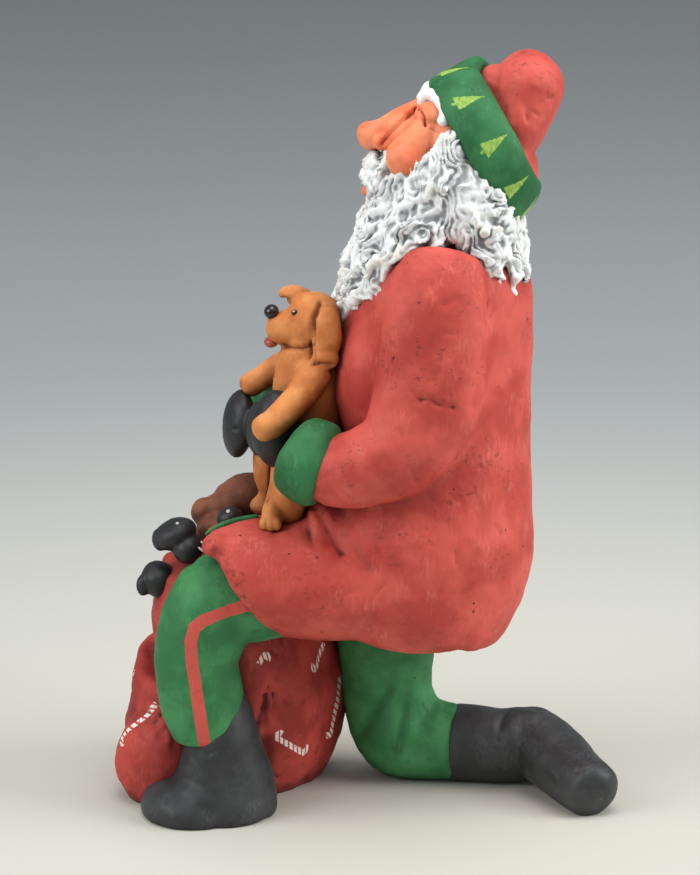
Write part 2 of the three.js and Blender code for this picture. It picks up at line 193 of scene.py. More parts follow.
# Clay: shells pressed together, then worked with fingers and tools


# Large primes that mix the whole coordinates of a cell into one number that looks random
CELL_MIX = (73856093, 19349663, 83492791)
LAST_MIX = 1274126177
MIX_BITS = 0xFFFFFF


def noise(points, size, seed=0):
    """Smooth noise from -1 to 1, with features of about size mm."""
    scaled = points / size + 31.7 * seed
    cell = np.floor(scaled).astype(np.int64)
    share = scaled - cell
    share = share * share * (3 - 2 * share)
    total = np.zeros(len(points))
    for corner in itertools.product((0, 1), repeat=3):
        c = cell + corner
        mixed = (c[:, 0] * CELL_MIX[0]) ^ (c[:, 1] * CELL_MIX[1]) ^ (c[:, 2] * CELL_MIX[2])
        mixed = (mixed ^ (mixed >> 13)) * LAST_MIX & MIX_BITS
        weight = np.prod(np.where(corner, share, 1 - share), axis=1)
        total += weight * (mixed / (MIX_BITS // 2) - 1)
    return total


def distance_to(points, path):
    """Distance from each point to the line through the path's corners."""
    nearest = np.full(len(points), np.inf)
    for a, b in itertools.pairwise(np.array(path, float)):
        run = b - a
        share = np.clip((points - a) @ run / (run @ run), 0, 1)
        nearest = np.minimum(nearest, np.linalg.norm(points - a - share[:, None] * run, axis=1))
    return nearest


def read(items, name, width, kind=np.float32):
    """One property of every mesh item as an array."""
    values = np.zeros(len(items) * width, kind)
    items.foreach_get(name, values)
    return values.reshape(-1, width)


class Clay:
    """One closed surface over several shells, with its points in mm."""

    def __init__(self, shells, grain, softening=0):
        corners, faces = [], []
        for points, polygons in shells:
            base = sum(len(c) for c in corners)
            corners.append(points)
            faces += [[n + base for n in face] for face in polygons]
        loose = bpy.data.meshes.new("shells")
        loose.from_pydata(np.vstack(corners).tolist(), [], faces)
        maker = bpy.data.objects.new("shells", loose)
        bpy.context.scene.collection.objects.link(maker)
        remesh = maker.modifiers.new("press", "REMESH")
        remesh.mode = "VOXEL"
        remesh.voxel_size = grain * GRAIN
        found = bpy.context.evaluated_depsgraph_get()
        self.mesh = bpy.data.meshes.new_from_object(maker.evaluated_get(found))
        bpy.data.objects.remove(maker)
        self.points = read(self.mesh.vertices, "co", 3).astype(float)
        self.edges = read(self.mesh.edges, "vertices", 2, np.int32)
        self.neighbours = np.bincount(self.edges.ravel(), minlength=len(self.points))[:, None]
        self.points = self.softened(softening)

    def softened(self, times):
        """The points after smoothing this many times."""
        a, b = self.edges.T
        pull = 0.6  # share of the way to the middle of its neighbours that a point moves each time
        soft = self.points
        for _ in range(times):
            total = [
                np.bincount(a, soft[b, k], len(soft)) + np.bincount(b, soft[a, k], len(soft))
                for k in range(3)
            ]
            soft = soft + pull * (np.stack(total, axis=1) / self.neighbours - soft)
        return soft

    def normals(self):
        self.mesh.vertices.foreach_set("co", self.points.astype(np.float32).ravel())
        self.mesh.update()
        return read(self.mesh.vertex_normals, "vector", 3).astype(float)

    def swell(self, amount):
        """Moves every point out by its amount in mm."""
        self.points = self.points + self.normals() * np.asarray(amount)[:, None]

    def uneven(self, *marks, seed):
        """Low lumps left by fingers, each kind with its size and height."""
        for k, (size, height) in enumerate(marks):
            self.swell(height * noise(self.points, size, seed + k))

    def roughen(self, path, reach, size, height, seed):
        """Torn, crumbly clay along a path."""
        near = np.exp(-((distance_to(self.points, path) / reach) ** 2))
        self.swell(near * height * noise(self.points, size, seed))

    def groove(self, path, width, depth, seen_from=None):
        """A line pressed in; seen_from flattens the distance along a view."""
        points = self.points
        share = 1.0
        line = np.array(path, float)
        if seen_from is not None:
            view = np.array(seen_from) / np.linalg.norm(seen_from)
            points = points - np.outer(points @ view, view)
            line = line - np.outer(line @ view, view)
            share = np.clip(2 * self.normals() @ view, 0, 1)
        away = distance_to(points, line)
        self.swell(-depth * share * np.exp(-((away / width) ** 2)))

    def nicks(self, count, length, width, depth, seed):
        """Short tool cuts at scattered places."""
        chance = np.random.default_rng(seed)
        normals = self.normals()
        for n in chance.choice(len(self.points), count, replace=False):
            way = np.cross(normals[n], chance.normal(size=3))
            way *= length * chance.uniform(0.4, 1) / np.linalg.norm(way)
            self.groove([self.points[n] - way / 2, self.points[n] + way / 2], width, depth)

    def stood(self):
        """Nothing reaches below the ground."""
        self.points[:, 2] = np.maximum(self.points[:, 2], 0)
        return self

    def piece(self, name, material, hollow_reach=8):
        """Finishes the surface as a piece of the figure; its hollows are kept so the paint can darken them.
        """
        normals = self.normals()
        hollow = ((self.softened(hollow_reach) - self.points) * normals).sum(axis=1)
        kept = self.mesh.attributes.new("hollow", "FLOAT", "POINT")
        kept.data.foreach_set("value", hollow.astype(np.float32))
        placed = (self.points + CENTRED) * MM
        self.mesh.vertices.foreach_set("co", placed.astype(np.float32).ravel())
        self.mesh.update()
        self.mesh.materials.clear()
        self.mesh.materials.append(material)
        self.mesh.shade_smooth()
        made = bpy.data.objects.new(name, self.mesh)
        bpy.context.scene.collection.objects.link(made)
        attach(made, "root")
        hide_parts(NODE)


# Paint


def srgb(red, green, blue):
    """A colour picked as 0 to 255 on a screen, as the shader takes it."""
    share = np.array([red, green, blue]) / 255
    linear = np.where(share <= 0.04045, share / 12.92, ((share + 0.055) / 1.055) ** 2.4)
    return (*linear, 1.0)


class Paint:
    """A material in the making. Its nodes read places in the figure's millimetres."""

    def __init__(self, name, roughness=0.62, specular=0.3):
        self.material = bpy.data.materials.new(name)
        self.material.use_nodes = True
        self.tree = self.material.node_tree
        self.shader = self.tree.nodes["Principled BSDF"]
        self.shader.inputs["Roughness"].default_value = roughness
        self.shader.inputs["Specular IOR Level"].default_value = specular
        metres = self.node("TexCoord").outputs["Object"]
        scaled = self.vector("SCALE", metres, scale=1 / MM)
        self.at = self.vector("SUBTRACT", scaled, tuple(CENTRED))
        self.x, self.y, self.z = self.node("SeparateXYZ", {0: self.at}).outputs

    def node(self, kind, inputs=None, **settings):
        made = self.tree.nodes.new("ShaderNode" + kind)
        for name, value in settings.items():
            setattr(made, name, value)
        for name, value in (inputs or {}).items():
            if isinstance(value, bpy.types.NodeSocket):
                self.tree.links.new(value, made.inputs[name])
            else:
                made.inputs[name].default_value = value
        return made

    def math(self, operation, *values):
        return self.node("Math", dict(enumerate(values)), operation=operation).outputs[0]

    def vector(self, operation, *values, scale=None):
        inputs = dict(enumerate(values))
        if scale is not None:
            inputs["Scale"] = scale
        made = self.node("VectorMath", inputs, operation=operation)
        return made.outputs["Value" if operation in ("DOT_PRODUCT", "LENGTH") else "Vector"]

    def ramp(self, value, low, high, smooth=True):
        """0 below low, 1 above high; low may be the larger."""
        kind = "SMOOTHSTEP" if smooth else "LINEAR"
        made = self.node("MapRange", {0: value, 1: low, 2: high}, interpolation_type=kind)
        return made.outputs[0]

    def mix(self, share, first, second):
        inputs = {0: share, 6: first, 7: second}
        return self.node("Mix", inputs, data_type="RGBA").outputs[2]

    def noise(self, size, detail=2.0, at=None, seed=0.0):
        """Smooth noise from 0 to 1 with features of about size mm."""
        moved = self.vector("ADD", at or self.at, (seed, 2 * seed, 3 * seed)) if seed else at or self.at
        inputs = {"Vector": moved, "Scale": 1 / size, "Detail": detail}
        return self.node("TexNoise", inputs).outputs["Fac"]

    def cells(self, size):
        """Distance in mm to the nearest of scattered dots, and a random share for each."""
        made = self.node("TexVoronoi", {"Vector": self.at, "Scale": 1 / size})
        grey = self.node("SeparateColor", {0: made.outputs["Color"]}).outputs[0]
        return self.math("MULTIPLY", made.outputs["Distance"], size), grey

    def hollow(self, low, high):
        value = self.node("Attribute", attribute_name="hollow").outputs["Fac"]
        return self.ramp(value, low, high)

    def crease_shade(self, reach, power=1.5):
        """Painted shade: high in narrow places, where surfaces meet and little light gets in."""
        open_share = self.node("AmbientOcclusion", {"Distance": reach * MM}, samples=6).outputs["AO"]
        return self.math("POWER", self.math("SUBTRACT", 1.0, open_share), power)

    def all_of(self, *shares):
        total = shares[0]
        for share in shares[1:]:
            total = self.math("MULTIPLY", total, share)
        return total

    def any_of(self, *shares):
        total = shares[0]
        for share in shares[1:]:
            total = self.math("MAXIMUM", total, share)
        return total

    def bump(self, height):
        """Height in mm."""
        inputs = {"Height": height, "Distance": MM, "Strength": 1.0}
        self.tree.links.new(self.node("Bump", inputs).outputs[0], self.shader.inputs["Normal"])

    def finish(self, colour):
        self.tree.links.new(colour, self.shader.inputs["Base Color"])
        return self.material


def brushed(p, deep, plain, worn, patch=16, streak=(1, 1, 0.3)):
    """Uneven coats of paint dragged on with a brush; returns the colour and the brush marks."""
    broad = p.ramp(p.noise(patch, 3.0), 0.36, 0.64)
    marks = p.noise(1.1, 3.0, at=p.vector("MULTIPLY", p.at, streak), seed=5.0)
    colour = p.mix(broad, deep, plain)
    dusted = p.ramp(p.noise(0.6 * patch, 3.0, seed=7.0), 0.45, 0.75)
    lighter = p.math("MULTIPLY", p.all_of(p.ramp(marks, 0.4, 0.8), dusted), 0.5)
    colour = p.mix(lighter, colour, worn)
    darker = p.math("MULTIPLY", p.ramp(marks, 0.48, 0.25), 0.25)
    return p.mix(darker, colour, deep), marks


def washed_and_shaded(p, colour, marks, wash_and_shade, pits=0.8, crease_shade=0.85, hollow=(0.05, 0.4), reach=4.0, extra_dark=None):
    """Dark wash left in pits and smudges, darker in hollows, and painted shade in creases where surfaces
    meet, with the surface's fine relief.
    """
    dots, kind = p.cells(7.5)
    ragged = p.math("ADD", dots, p.math("MULTIPLY", p.noise(0.7, 2.0), 1.6))
    pit = p.all_of(p.ramp(ragged, 1.35, 1.05), p.ramp(kind, 0.5, 0.55))
    scuff = p.noise(1.6, 4.0, at=p.vector("MULTIPLY", p.at, (1, 0.6, 1)), seed=9.0)
    smudge = p.all_of(p.ramp(scuff, 0.56, 0.7), p.ramp(p.noise(19, 1.0), 0.5, 0.62))
    shares = [
        p.math("MULTIPLY", pit, pits),
        p.math("MULTIPLY", smudge, 0.5 * pits),
        p.math("MULTIPLY", p.hollow(*hollow), 0.8),
        # painted shade in creases, where surfaces meet and little light gets in
        p.math("MULTIPLY", p.crease_shade(reach), crease_shade),
    ]
    if extra_dark is not None:
        shares.append(extra_dark)
    dark = p.math("MINIMUM", p.any_of(*shares), 0.92)
    height = p.math("MULTIPLY", p.math("ADD", p.noise(0.45, 2.0, seed=3.0), marks), 0.05)
    p.bump(p.math("SUBTRACT", height, p.math("MULTIPLY", pit, 0.3 * pits)))
    return p.mix(dark, colour, wash_and_shade)


# Dark colours for the wash in pits and smudges, and for the painted shade in creases
WASH_AND_SHADE = srgb(38, 26, 28)
GREEN_WASH_AND_SHADE = srgb(14, 26, 20)
RED_DEEP, RED, RED_WORN = srgb(184, 66, 56), srgb(210, 88, 76), srgb(228, 128, 116)
GREEN_DEEP, GREEN, GREEN_WORN = srgb(36, 98, 54), srgb(52, 120, 70), srgb(98, 156, 108)
CHARCOAL_DEEP, CHARCOAL, CHARCOAL_WORN = srgb(38, 39, 40), srgb(54, 56, 57), srgb(100, 103, 105)
# Black for the mittens and the black puppies: the boots' charcoal made darker, as painted shade for the
# mittens under the arms and the puppies inside the sack
SHADED_BLACK_DEEP, SHADED_BLACK, SHADED_BLACK_WORN = srgb(26, 26, 28), srgb(38, 38, 40), srgb(66, 67, 69)
WHITE = srgb(236, 232, 220)


def line_distance(p, path):
    """Distance in mm, seen from the side, to a line through y, z corners."""
    nearest = None
    for (ay, az), (by, bz) in itertools.pairwise(path):
        run = (by - ay, bz - az)
        length = run[0] ** 2 + run[1] ** 2
        dy, dz = p.math("SUBTRACT", p.y, ay), p.math("SUBTRACT", p.z, az)
        parts = p.math("MULTIPLY", dy, run[0] / length), p.math("MULTIPLY", dz, run[1] / length)
        along = p.math("ADD", *parts)
        share = p.node("Clamp", {0: along}).outputs[0]
        away_y = p.math("SUBTRACT", dy, p.math("MULTIPLY", share, run[0]))
        away_z = p.math("SUBTRACT", dz, p.math("MULTIPLY", share, run[1]))
        away = p.vector("LENGTH", p.node("CombineXYZ", {0: away_y, 1: away_z}).outputs[0])
        nearest = away if nearest is None else p.math("MINIMUM", nearest, away)
    return nearest


def red_paint(name, edge=None):
    """Red, with a dark smear inside an edge given by y, z corners."""
    p = Paint(name, roughness=0.6)
    colour, marks = brushed(p, RED_DEEP, RED, RED_WORN)
    extra_dark = None
    if edge:
        inside = p.ramp(line_distance(p, edge), 3.6, 0.6)
        extra_dark = p.math("MULTIPLY", p.all_of(inside, p.ramp(p.noise(2.2, 5.0, seed=8.0), 0.5, 0.66)), 0.55)
    return p.finish(washed_and_shaded(p, colour, marks, WASH_AND_SHADE, hollow=(0.1, 0.6), extra_dark=extra_dark))


def plain_green(p):
    return brushed(p, GREEN_DEEP, GREEN, GREEN_WORN, patch=12)


def green_paint():
    p = Paint("green_paint")
    colour, marks = plain_green(p)
    return p.finish(washed_and_shaded(p, colour, marks, GREEN_WASH_AND_SHADE, pits=0.4))


def tree_paint():
    """Green with small yellow-green fir trees round the hat band, tips towards the crown."""
    p = Paint("tree_paint")
    colour, marks = plain_green(p)
    from_centre = p.vector("SUBTRACT", p.at, tuple(BAND_CENTRE))
    sideways = p.vector("DOT_PRODUCT", from_centre, tuple(SIDEWAYS))
    along = p.vector("DOT_PRODUCT", from_centre, tuple(BAND_ALONG))
    across = p.vector("DOT_PRODUCT", from_centre, tuple(BAND_NORMAL))
    trees, first = 9, 0.6125
    turned = p.math("ARCTAN2", along, sideways)
    lifted = p.node("Clamp", {0: p.math("SUBTRACT", 1.0, p.math("SINE", turned))}).outputs[0]
    across = p.math("SUBTRACT", across, p.math("MULTIPLY", lifted, BAND_LIFT))
    counted = p.math("MULTIPLY", turned, trees / (2 * math.pi))
    counted = p.math("ADD", counted, first)
    lean = p.node("TexWhiteNoise", {"W": p.math("FLOOR", counted)}, noise_dimensions="1D").outputs["Value"]
    lean = p.math("MULTIPLY", p.math("SUBTRACT", lean, 0.5), p.math("MULTIPLY", across, 0.5))
    pitch = 2 * math.pi * (BAND_RADIUS + BAND_HALF_THICKNESS) / trees
    beside = p.math("MULTIPLY", p.math("SUBTRACT", p.math("FRACT", counted), 0.5), pitch)
    ragged = p.math("MULTIPLY", p.math("SUBTRACT", p.noise(0.8), 0.5), 1.1)
    beside = p.math("ABSOLUTE", p.math("ADD", p.math("ADD", beside, lean), ragged))
    foot, tip, half_width = -2.8, 6.4, 2.6
    taper = p.ramp(across, tip, foot, smooth=False)
    boughs = p.all_of(
        p.math("LESS_THAN", beside, p.math("MULTIPLY", taper, half_width)),
        p.math("GREATER_THAN", across, foot),
    )
    stem = p.all_of(
        p.math("LESS_THAN", beside, 0.5),
        p.math("GREATER_THAN", across, foot - 1.4),
        p.math("LESS_THAN", across, foot + 0.2),
    )
    leaf = p.mix(p.ramp(marks, 0.3, 0.7), srgb(120, 166, 62), srgb(166, 196, 96))
    colour = p.mix(p.any_of(boughs, stem), colour, leaf)
    return p.finish(washed_and_shaded(p, colour, marks, GREEN_WASH_AND_SHADE, pits=0.2))


def trouser_paint(name, stripe, outer_side, beyond):
    """Green with a red stripe down the outer side of the leg."""
    p = Paint(name)
    colour, marks = brushed(p, srgb(48, 112, 64), srgb(66, 136, 82), GREEN_WORN, patch=12)
    half_width = 2.3
    away = p.math("ADD", line_distance(p, stripe), p.math("MULTIPLY", p.noise(2.5), 0.5))
    outside = p.math("GREATER_THAN", p.math("MULTIPLY", p.x, outer_side), beyond)
    painted = p.all_of(p.math("LESS_THAN", away, half_width), outside)
    colour = p.mix(painted, colour, p.mix(p.ramp(marks, 0.3, 0.7), RED, srgb(204, 84, 74)))
    return p.finish(washed_and_shaded(p, colour, marks, GREEN_WASH_AND_SHADE, pits=0.4, hollow=(0.2, 0.9)))


def charcoal_paint(name, deep, plain, worn):
    p = Paint(name, roughness=0.5, specular=0.45)
    colour, marks = brushed(p, deep, plain, worn, patch=14, streak=(1, 1, 0.6))
    return p.finish(washed_and_shaded(p, colour, marks, srgb(14, 13, 15), pits=0.25))


def fur_paint(name, deep, plain, worn, wash_and_shade):
    """Smooth modelled fur with a dark wash in its pits, darker in its hollows, and painted shade in its folds
    and wherever little light reaches.
    """
    p = Paint(name)
    colour, marks = brushed(p, deep, plain, worn, patch=9, streak=(1, 1, 0.4))
    # Painted shade over the puppies' sides and backs, where the coat and arms keep light away
    shaded = p.math("MULTIPLY", p.crease_shade(22, 1.2), 0.9)
    return p.finish(washed_and_shaded(p, colour, marks, wash_and_shade, pits=0.15, crease_shade=0.9, reach=5, extra_dark=shaded))


def skin_paint():
    p = Paint("skin_paint", roughness=0.55)
    colour, marks = brushed(p, srgb(238, 122, 80), srgb(250, 150, 108), srgb(255, 188, 150), patch=9)
    colour = p.mix(p.hollow(0.35, 0.7), colour, srgb(48, 24, 16))
    return p.finish(washed_and_shaded(p, colour, marks, srgb(120, 52, 30), pits=0.2, crease_shade=0.8, reach=3))


def hair_paint():
    """White over grey: the grey stays between the crests, partly as a grey wash and partly as painted shade,
    and the tops are brushed white; painted shade darkens it where the hair meets other parts.
    """
    p = Paint("hair_paint", roughness=0.6)
    patchy = p.ramp(p.noise(7, 3.0), 0.35, 0.65)
    grey = p.mix(patchy, srgb(134, 138, 142), srgb(186, 189, 190))
    white = p.mix(p.ramp(p.noise(11, 2.0, seed=4.0), 0.5, 0.75), srgb(246, 248, 246), srgb(236, 234, 220))
    uneven = p.math("MULTIPLY", p.math("SUBTRACT", p.noise(2.2, 3.0), 0.5), 0.7)
    # Grey in the hollows between the crests: partly the grey undercoat, partly painted shade
    shade = p.math("ADD", p.hollow(-0.3, 0.5), uneven)
    colour = p.mix(p.ramp(shade, 0.2, 0.95), white, grey)
    # Painted shade, nearly black, where the hair meets the face, hat and coat
    colour = p.mix(p.math("MULTIPLY", p.crease_shade(3.5, 2.2), 0.9), colour, srgb(52, 48, 50))
    p.bump(p.math("MULTIPLY", p.noise(0.5, 3.0, seed=2.0), 0.12))
    return p.finish(colour)


def glossy_paint(name, colour, roughness=0.12):
    """Gloss varnish over a bead of clay."""
    p = Paint(name, roughness=roughness, specular=0.6)
    uneven = p.noise(2.0, 1.0)
    p.bump(p.math("MULTIPLY", uneven, 0.05))
    return p.finish(p.mix(uneven, colour, tuple(0.6 * c for c in colour[:3]) + (1.0,)))


# Candy canes: degrees round the sack, height, lean in degrees, length, side of the hook, both ends hooked
CANES = [
    (-43.5, 35.0, 236, 16.0, 1, False),
    (33.0, 22.5, 325, 12.0, 1, True),
    (85.5, 37.0, 258, 19.5, -1, False),
    (76.0, 50.5, 226, 9.5, -1, False),
    (19.0, 50.5, 52, 3.0, -1, False),
    (-75.0, 41.0, 258, 6.0, 1, False),
    (-100.0, 22.0, 300, 13.0, 1, True),
    (-118.0, 44.0, 235, 13.0, -1, False),
    (-140.0, 20.0, 285, 12.0, 1, False),
    (-160.0, 36.0, 250, 14.0, 1, False),
    (158.0, 18.0, 310, 12.0, -1, True),
    (135.0, 40.0, 255, 14.0, 1, False),
    (112.0, 20.0, 230, 13.0, 1, False),
]


def cane_marks(p, turned, height):
    """Shares of white and of red stripe for one hooked cane after another."""
    half_width, hook = 1.0, 1.1
    stripes, slope, white_share = 2.9, 2.2, 0.5
    white = red = None
    for degrees, up, lean, length, bend, both in CANES:
        right = p.math("MULTIPLY", p.math("SUBTRACT", turned, math.radians(degrees)), SACK_RADIUS)
        above = p.math("SUBTRACT", height, up)
        c, s = math.cos(math.radians(lean)), math.sin(math.radians(lean))
        along = p.math("ADD", p.math("MULTIPLY", right, c), p.math("MULTIPLY", above, s))
        beside = p.math("ADD", p.math("MULTIPLY", right, -s * bend), p.math("MULTIPLY", above, c * bend))
        middle = p.math("ABSOLUTE", p.math("SUBTRACT", along, length / 2))
        shaft = p.all_of(
            p.math("LESS_THAN", p.math("ABSOLUTE", beside), half_width),
            p.math("LESS_THAN", middle, length / 2),
        )
        beyond = p.math("SUBTRACT", middle if both else along, length / 2 if both else length)
        from_hook = p.node("CombineXYZ", {0: beyond, 1: p.math("SUBTRACT", beside, hook)}).outputs[0]
        off_ring = p.math("ABSOLUTE", p.math("SUBTRACT", p.vector("LENGTH", from_hook), hook))
        ring = p.all_of(p.math("LESS_THAN", off_ring, half_width), p.math("GREATER_THAN", beyond, -0.3))
        cane = p.any_of(shaft, ring)
        slant = p.math("ADD", p.math("MULTIPLY", along, stripes), p.math("MULTIPLY", beside, slope))
        striped = p.all_of(cane, p.math("GREATER_THAN", p.math("SINE", slant), white_share))
        white = cane if white is None else p.any_of(white, cane)
        red = striped if red is None else p.any_of(red, striped)
    return white, red


def sack_paint():
    p = Paint("sack_paint")
    colour, marks = brushed(p, srgb(150, 46, 40), srgb(184, 68, 58), srgb(206, 104, 94), patch=15)
    right = p.math("SUBTRACT", p.x, SACK_MIDDLE[0])
    back = p.math("SUBTRACT", p.y, SACK_MIDDLE[1])
    ragged = p.math("MULTIPLY", p.math("SUBTRACT", p.noise(1.0), 0.5), 0.5)
    white, red = cane_marks(p, p.math("ARCTAN2", back, right), p.math("ADD", p.z, ragged))
    worn = p.math("GREATER_THAN", p.noise(0.7, 2.0, seed=6.0), 0.36)
    colour = p.mix(p.all_of(white, worn), colour, WHITE)
    colour = p.mix(red, colour, srgb(198, 66, 56))
    return p.finish(washed_and_shaded(p, colour, marks, srgb(30, 14, 16), pits=0.7, crease_shade=0.85, reach=7))


# The figure's pieces

# The torn edge of the coat over the near thigh, from its tip down to the hem
FLAP_EDGE = [(40, -52, 97), (40, -45, 89), (41, -40, 79.5), (40, -35, 71), (38, -28, 64), (38, -14, 61)]
# Folds that run from the puppy's seat down over the thigh: path, width, depth
LAP_FOLDS = [
    ([(19, -20.5, 103.5), (23.5, -19.5, 102), (28, -18.5, 99), (32, -17.4, 95.5)], 1.7, 1.3),
    ([(20, -17, 106), (25, -14.5, 104), (29, -12, 100), (34, -8, 94.5)], 1.8, 1.4),
    ([(22, -9, 107), (28, -6, 103), (33, -3, 97), (39, 2, 90)], 2.4, 1.0),
    ([(24, -29, 101), (28, -30, 98), (31, -32, 94)], 1.6, 0.9),
    ([(35, -24, 90), (38, -16, 84), (40, -10, 78)], 2.8, 0.7),
]


def coat():
    trunk = [
        (1, 10, HEM_Z, COAT_HALF_WIDTH - 4, TRUNK_DEPTH - 5),
        (1, 11, HEM_Z + 5, COAT_HALF_WIDTH, TRUNK_DEPTH),
        (1, 15, HEM_Z + 15, COAT_HALF_WIDTH + 4, TRUNK_DEPTH + 5),
        (1, 19, HEM_Z + 30, COAT_HALF_WIDTH + 4, TRUNK_DEPTH + 6.5),
        (0, 22, 106, COAT_HALF_WIDTH + 2, TRUNK_DEPTH + 3),
        (0, 24, 127, COAT_HALF_WIDTH, TRUNK_DEPTH - 0.5),
        (0, 24, 150, COAT_HALF_WIDTH, TRUNK_DEPTH - 1),
        (0, 24.5, 171, COAT_HALF_WIDTH, TRUNK_DEPTH - 1.5),
        (0, 25, SHOULDER_Z - 5, COAT_HALF_WIDTH - 4, TRUNK_DEPTH - 4),
        (0, 26, SHOULDER_Z + 4, COAT_HALF_WIDTH - 14, TRUNK_DEPTH - 11),
    ]
    thigh_cover = [
        (15, 16, 81, 24, 20),
        (18, -10, 80, 23, 20),
        (20, -28, 82, 21.5, 19.5),
        (20, -44, 85.5, 19.5, 16),
        (20.5, -54, 88.5, 15, 10),
    ]
    edge_slope = math.atan2(28.5, 18)
    hemmed = cut_by(
        loft(thigh_cover, tail=0.5),
        (0, -30, HEM_Z + 2.6),
        (0, -math.sin(edge_slope), -math.cos(edge_slope)),
    )
    shells = [
        loft(trunk, nose=0.06, tail=0.3, around=64),
        hemmed,
        lump((-3, -8, 83), (32, 28, 16.5)),
        lump((2, 1, 147), (25, 12.4, 27)),
        lump((29.5, -49.9, 95.8), (5.6, 4, 3.4), (30, 0, 0)),
        lump((18.5, -13, 99), (10, 9, 8.5)),
        sleeve(1),
        sleeve(-1),
    ]
    clay = Clay(shells, 0.96, softening=10)
    clay.uneven((19, 0.8), (8, 0.4), (2.6, 0.14), seed=1)
    clay.groove([(47, 17.6, 148.9), (47, 20.5, 149.6), (47, 23.1, 147.3), (46, 27.9, 146.3)], 0.7, 1.7)
    clay.groove([(42, 34, 146), (41, 37, 157), (35, 39, 170), (27, 40, 184)], 2.2, 1.0)
    for path, width, depth in LAP_FOLDS:
        clay.groove(path, width, depth)
    clay.roughen(FLAP_EDGE, 3.2, 2.2, 0.8, 4)
    clay.nicks(80, 5, 0.9, 0.45, 7)
    edge = [corner[1:] for corner in FLAP_EDGE]
    clay.piece("coat", red_paint("red_paint", edge))


def sleeve(hand):
    near = [
        (26, 25, SHOULDER_Z - 1, 10, SLEEVE - 4),
        (32, 23, 177, 13, SLEEVE),
        (34, 22, 160, 13, SLEEVE + 0.5),
        (35, 19.5, 144, 13, SLEEVE + 0.5),
        (36, 12, 130, 13.5, SLEEVE - 1.5),
        (35, 0, 123.5, 12.5, SLEEVE - 3.8),
        (32.5, -9, 122, 11.5, SLEEVE - 5),
        (31, -14, 122.5, 10.5, SLEEVE - 6),
    ]
    far = [
        (-26, 25, SHOULDER_Z - 1, 10, SLEEVE - 4),
        (-32, 23, 177, 13, SLEEVE),
        (-34, 21, 160, 13, SLEEVE),
        (-35, 17, 144, 13, SLEEVE),
        (-36, 8, 131, 13, SLEEVE - 2),
        (-33, -5, 127, 12, SLEEVE - 4),
        (-27, -18, 127, 11, SLEEVE - 5.5),
        (-23, -25, 128, 10, SLEEVE - 6.5),
    ]
    return loft(near if hand > 0 else far, nose=0.5)


def cuffs(green):
    near = [
        (31.5, -12, 121.5, CUFF - 2, CUFF - 1.8),
        (30.5, -15, 122.6, CUFF, CUFF + 0.3),
        (28.8, -19, 124.4, CUFF, CUFF),
        (27.4, -22, 125.8, CUFF - 0.8, CUFF - 0.8),
    ]
    far = [
        (-25, -21, 128, CUFF - 2, CUFF - 2),
        (-22, -26, 128, CUFF - 0.5, CUFF - 0.5),
        (-16, -35, 128, CUFF - 0.5, CUFF),
    ]
    clay = Clay([loft(near, 0.05, 0.3), loft(far, 0.05, 0.12)], 0.65, softening=4)
    clay.uneven((7, 0.4), (2, 0.12), seed=4)
    clay.piece("cuffs", green)


def trouser_sliver(green):
    """The top of the green thigh, which shows as a thin strip above the coat's flap."""
    path = [(24, -52.5, 97.4, 0.7), (21, -48, 99.3, 1.1), (19, -42.5, 100.6, 1.2), (17, -36, 101.4, 1.0)]
    Clay([limb(path)], 0.4, softening=2).piece("trouser_sliver", green)


def mittens(black):
    shells = [
        lump((15, -29.5, 131), (9, 8, 13)),
        lump((8, -34.6, 129), (9, 5, 9), (0, 0, 8)),
        lump((-5, -42.2, 127.5), (10, 5.2, 11.6), (-8, 0, 12)),
    ]
    clay = Clay(shells, 0.5, softening=4)
    clay.uneven((6, 0.3), (2, 0.1), seed=6)
    clay.groove([(4, -42.6, 135), (2, -45.6, 134), (0, -46.8, 133)], 0.6, 0.9)
    clay.groove([(4, -42.6, 128), (3, -44.8, 127.5), (0, -47.1, 127)], 0.6, 0.9)
    clay.piece("mittens", black)


# The half-closed eye, the fine lines at its corner and the crease beside the nose, seen from the side
EYE_LINES = [
    ([(12, 16.5, 237.7), (12, 18, 234.5), (12, 19.2, 230.9)], 0.55, 1.5),
    ([(12, 21, 231.8), (12, 25.2, 231.8)], 0.45, 0.3),
    ([(12, 20.8, 229.8), (12, 24.6, 227.8)], 0.45, 0.3),
    ([(12, 16.4, 237), (12, 11.9, 233.7), (12, 6.7, 228.3), (12, 5.4, 225.4)], 0.8, 1.2),
]


def face():
    bridge = [
        (0, 22, 235, 4, 5),
        (0, 12.5, 231.6, NOSE - 1.5, NOSE - 1),
        (0, 6, 228.2, NOSE - 1.2, NOSE - 1.3),
        (0, 2.2, 226, NOSE, NOSE),
    ]
    cheek = [(12.5, 20.5, 232, 4.6, 4.4), (13, 18, 227.5, 6.2, 6), (13.4, 14.8, 221, CHEEK, CHEEK)]
    shells = [
        lump((0, 28, 222), (HEAD_HALF_WIDTH, 15, 21)),
        lump((0, 12, 225.5), (9, 7.5, 8.5)),
        lump((0, 1, 207.7), (3.6, 2.4, 1.7)),
        lump((0, 2.2, 213.8), (2.8, 2.4, 2.2)),
        loft(bridge, tail=0.95, around=28),
    ]
    for hand in SIDES:
        shells.append(loft(mirrored(cheek, hand), 0.9, 0.95, around=36))
        shells.append(lump((hand * 10.5, 21, 234), (6.5, 5.2, 5)))
        shells.append(lump((hand * 4, 5.4, 224.6), (2.8, 3, 2.8)))
    clay = Clay(shells, 0.5, softening=3)
    clay.uneven((6, 0.25), (2, 0.08), seed=8)
    for hand in SIDES:
        for path, width, depth in EYE_LINES:
            clay.groove(mirrored(path, hand), width, depth, seen_from=FROM_THE_SIDE * (hand, 1, 1))
    clay.piece("face", skin_paint())


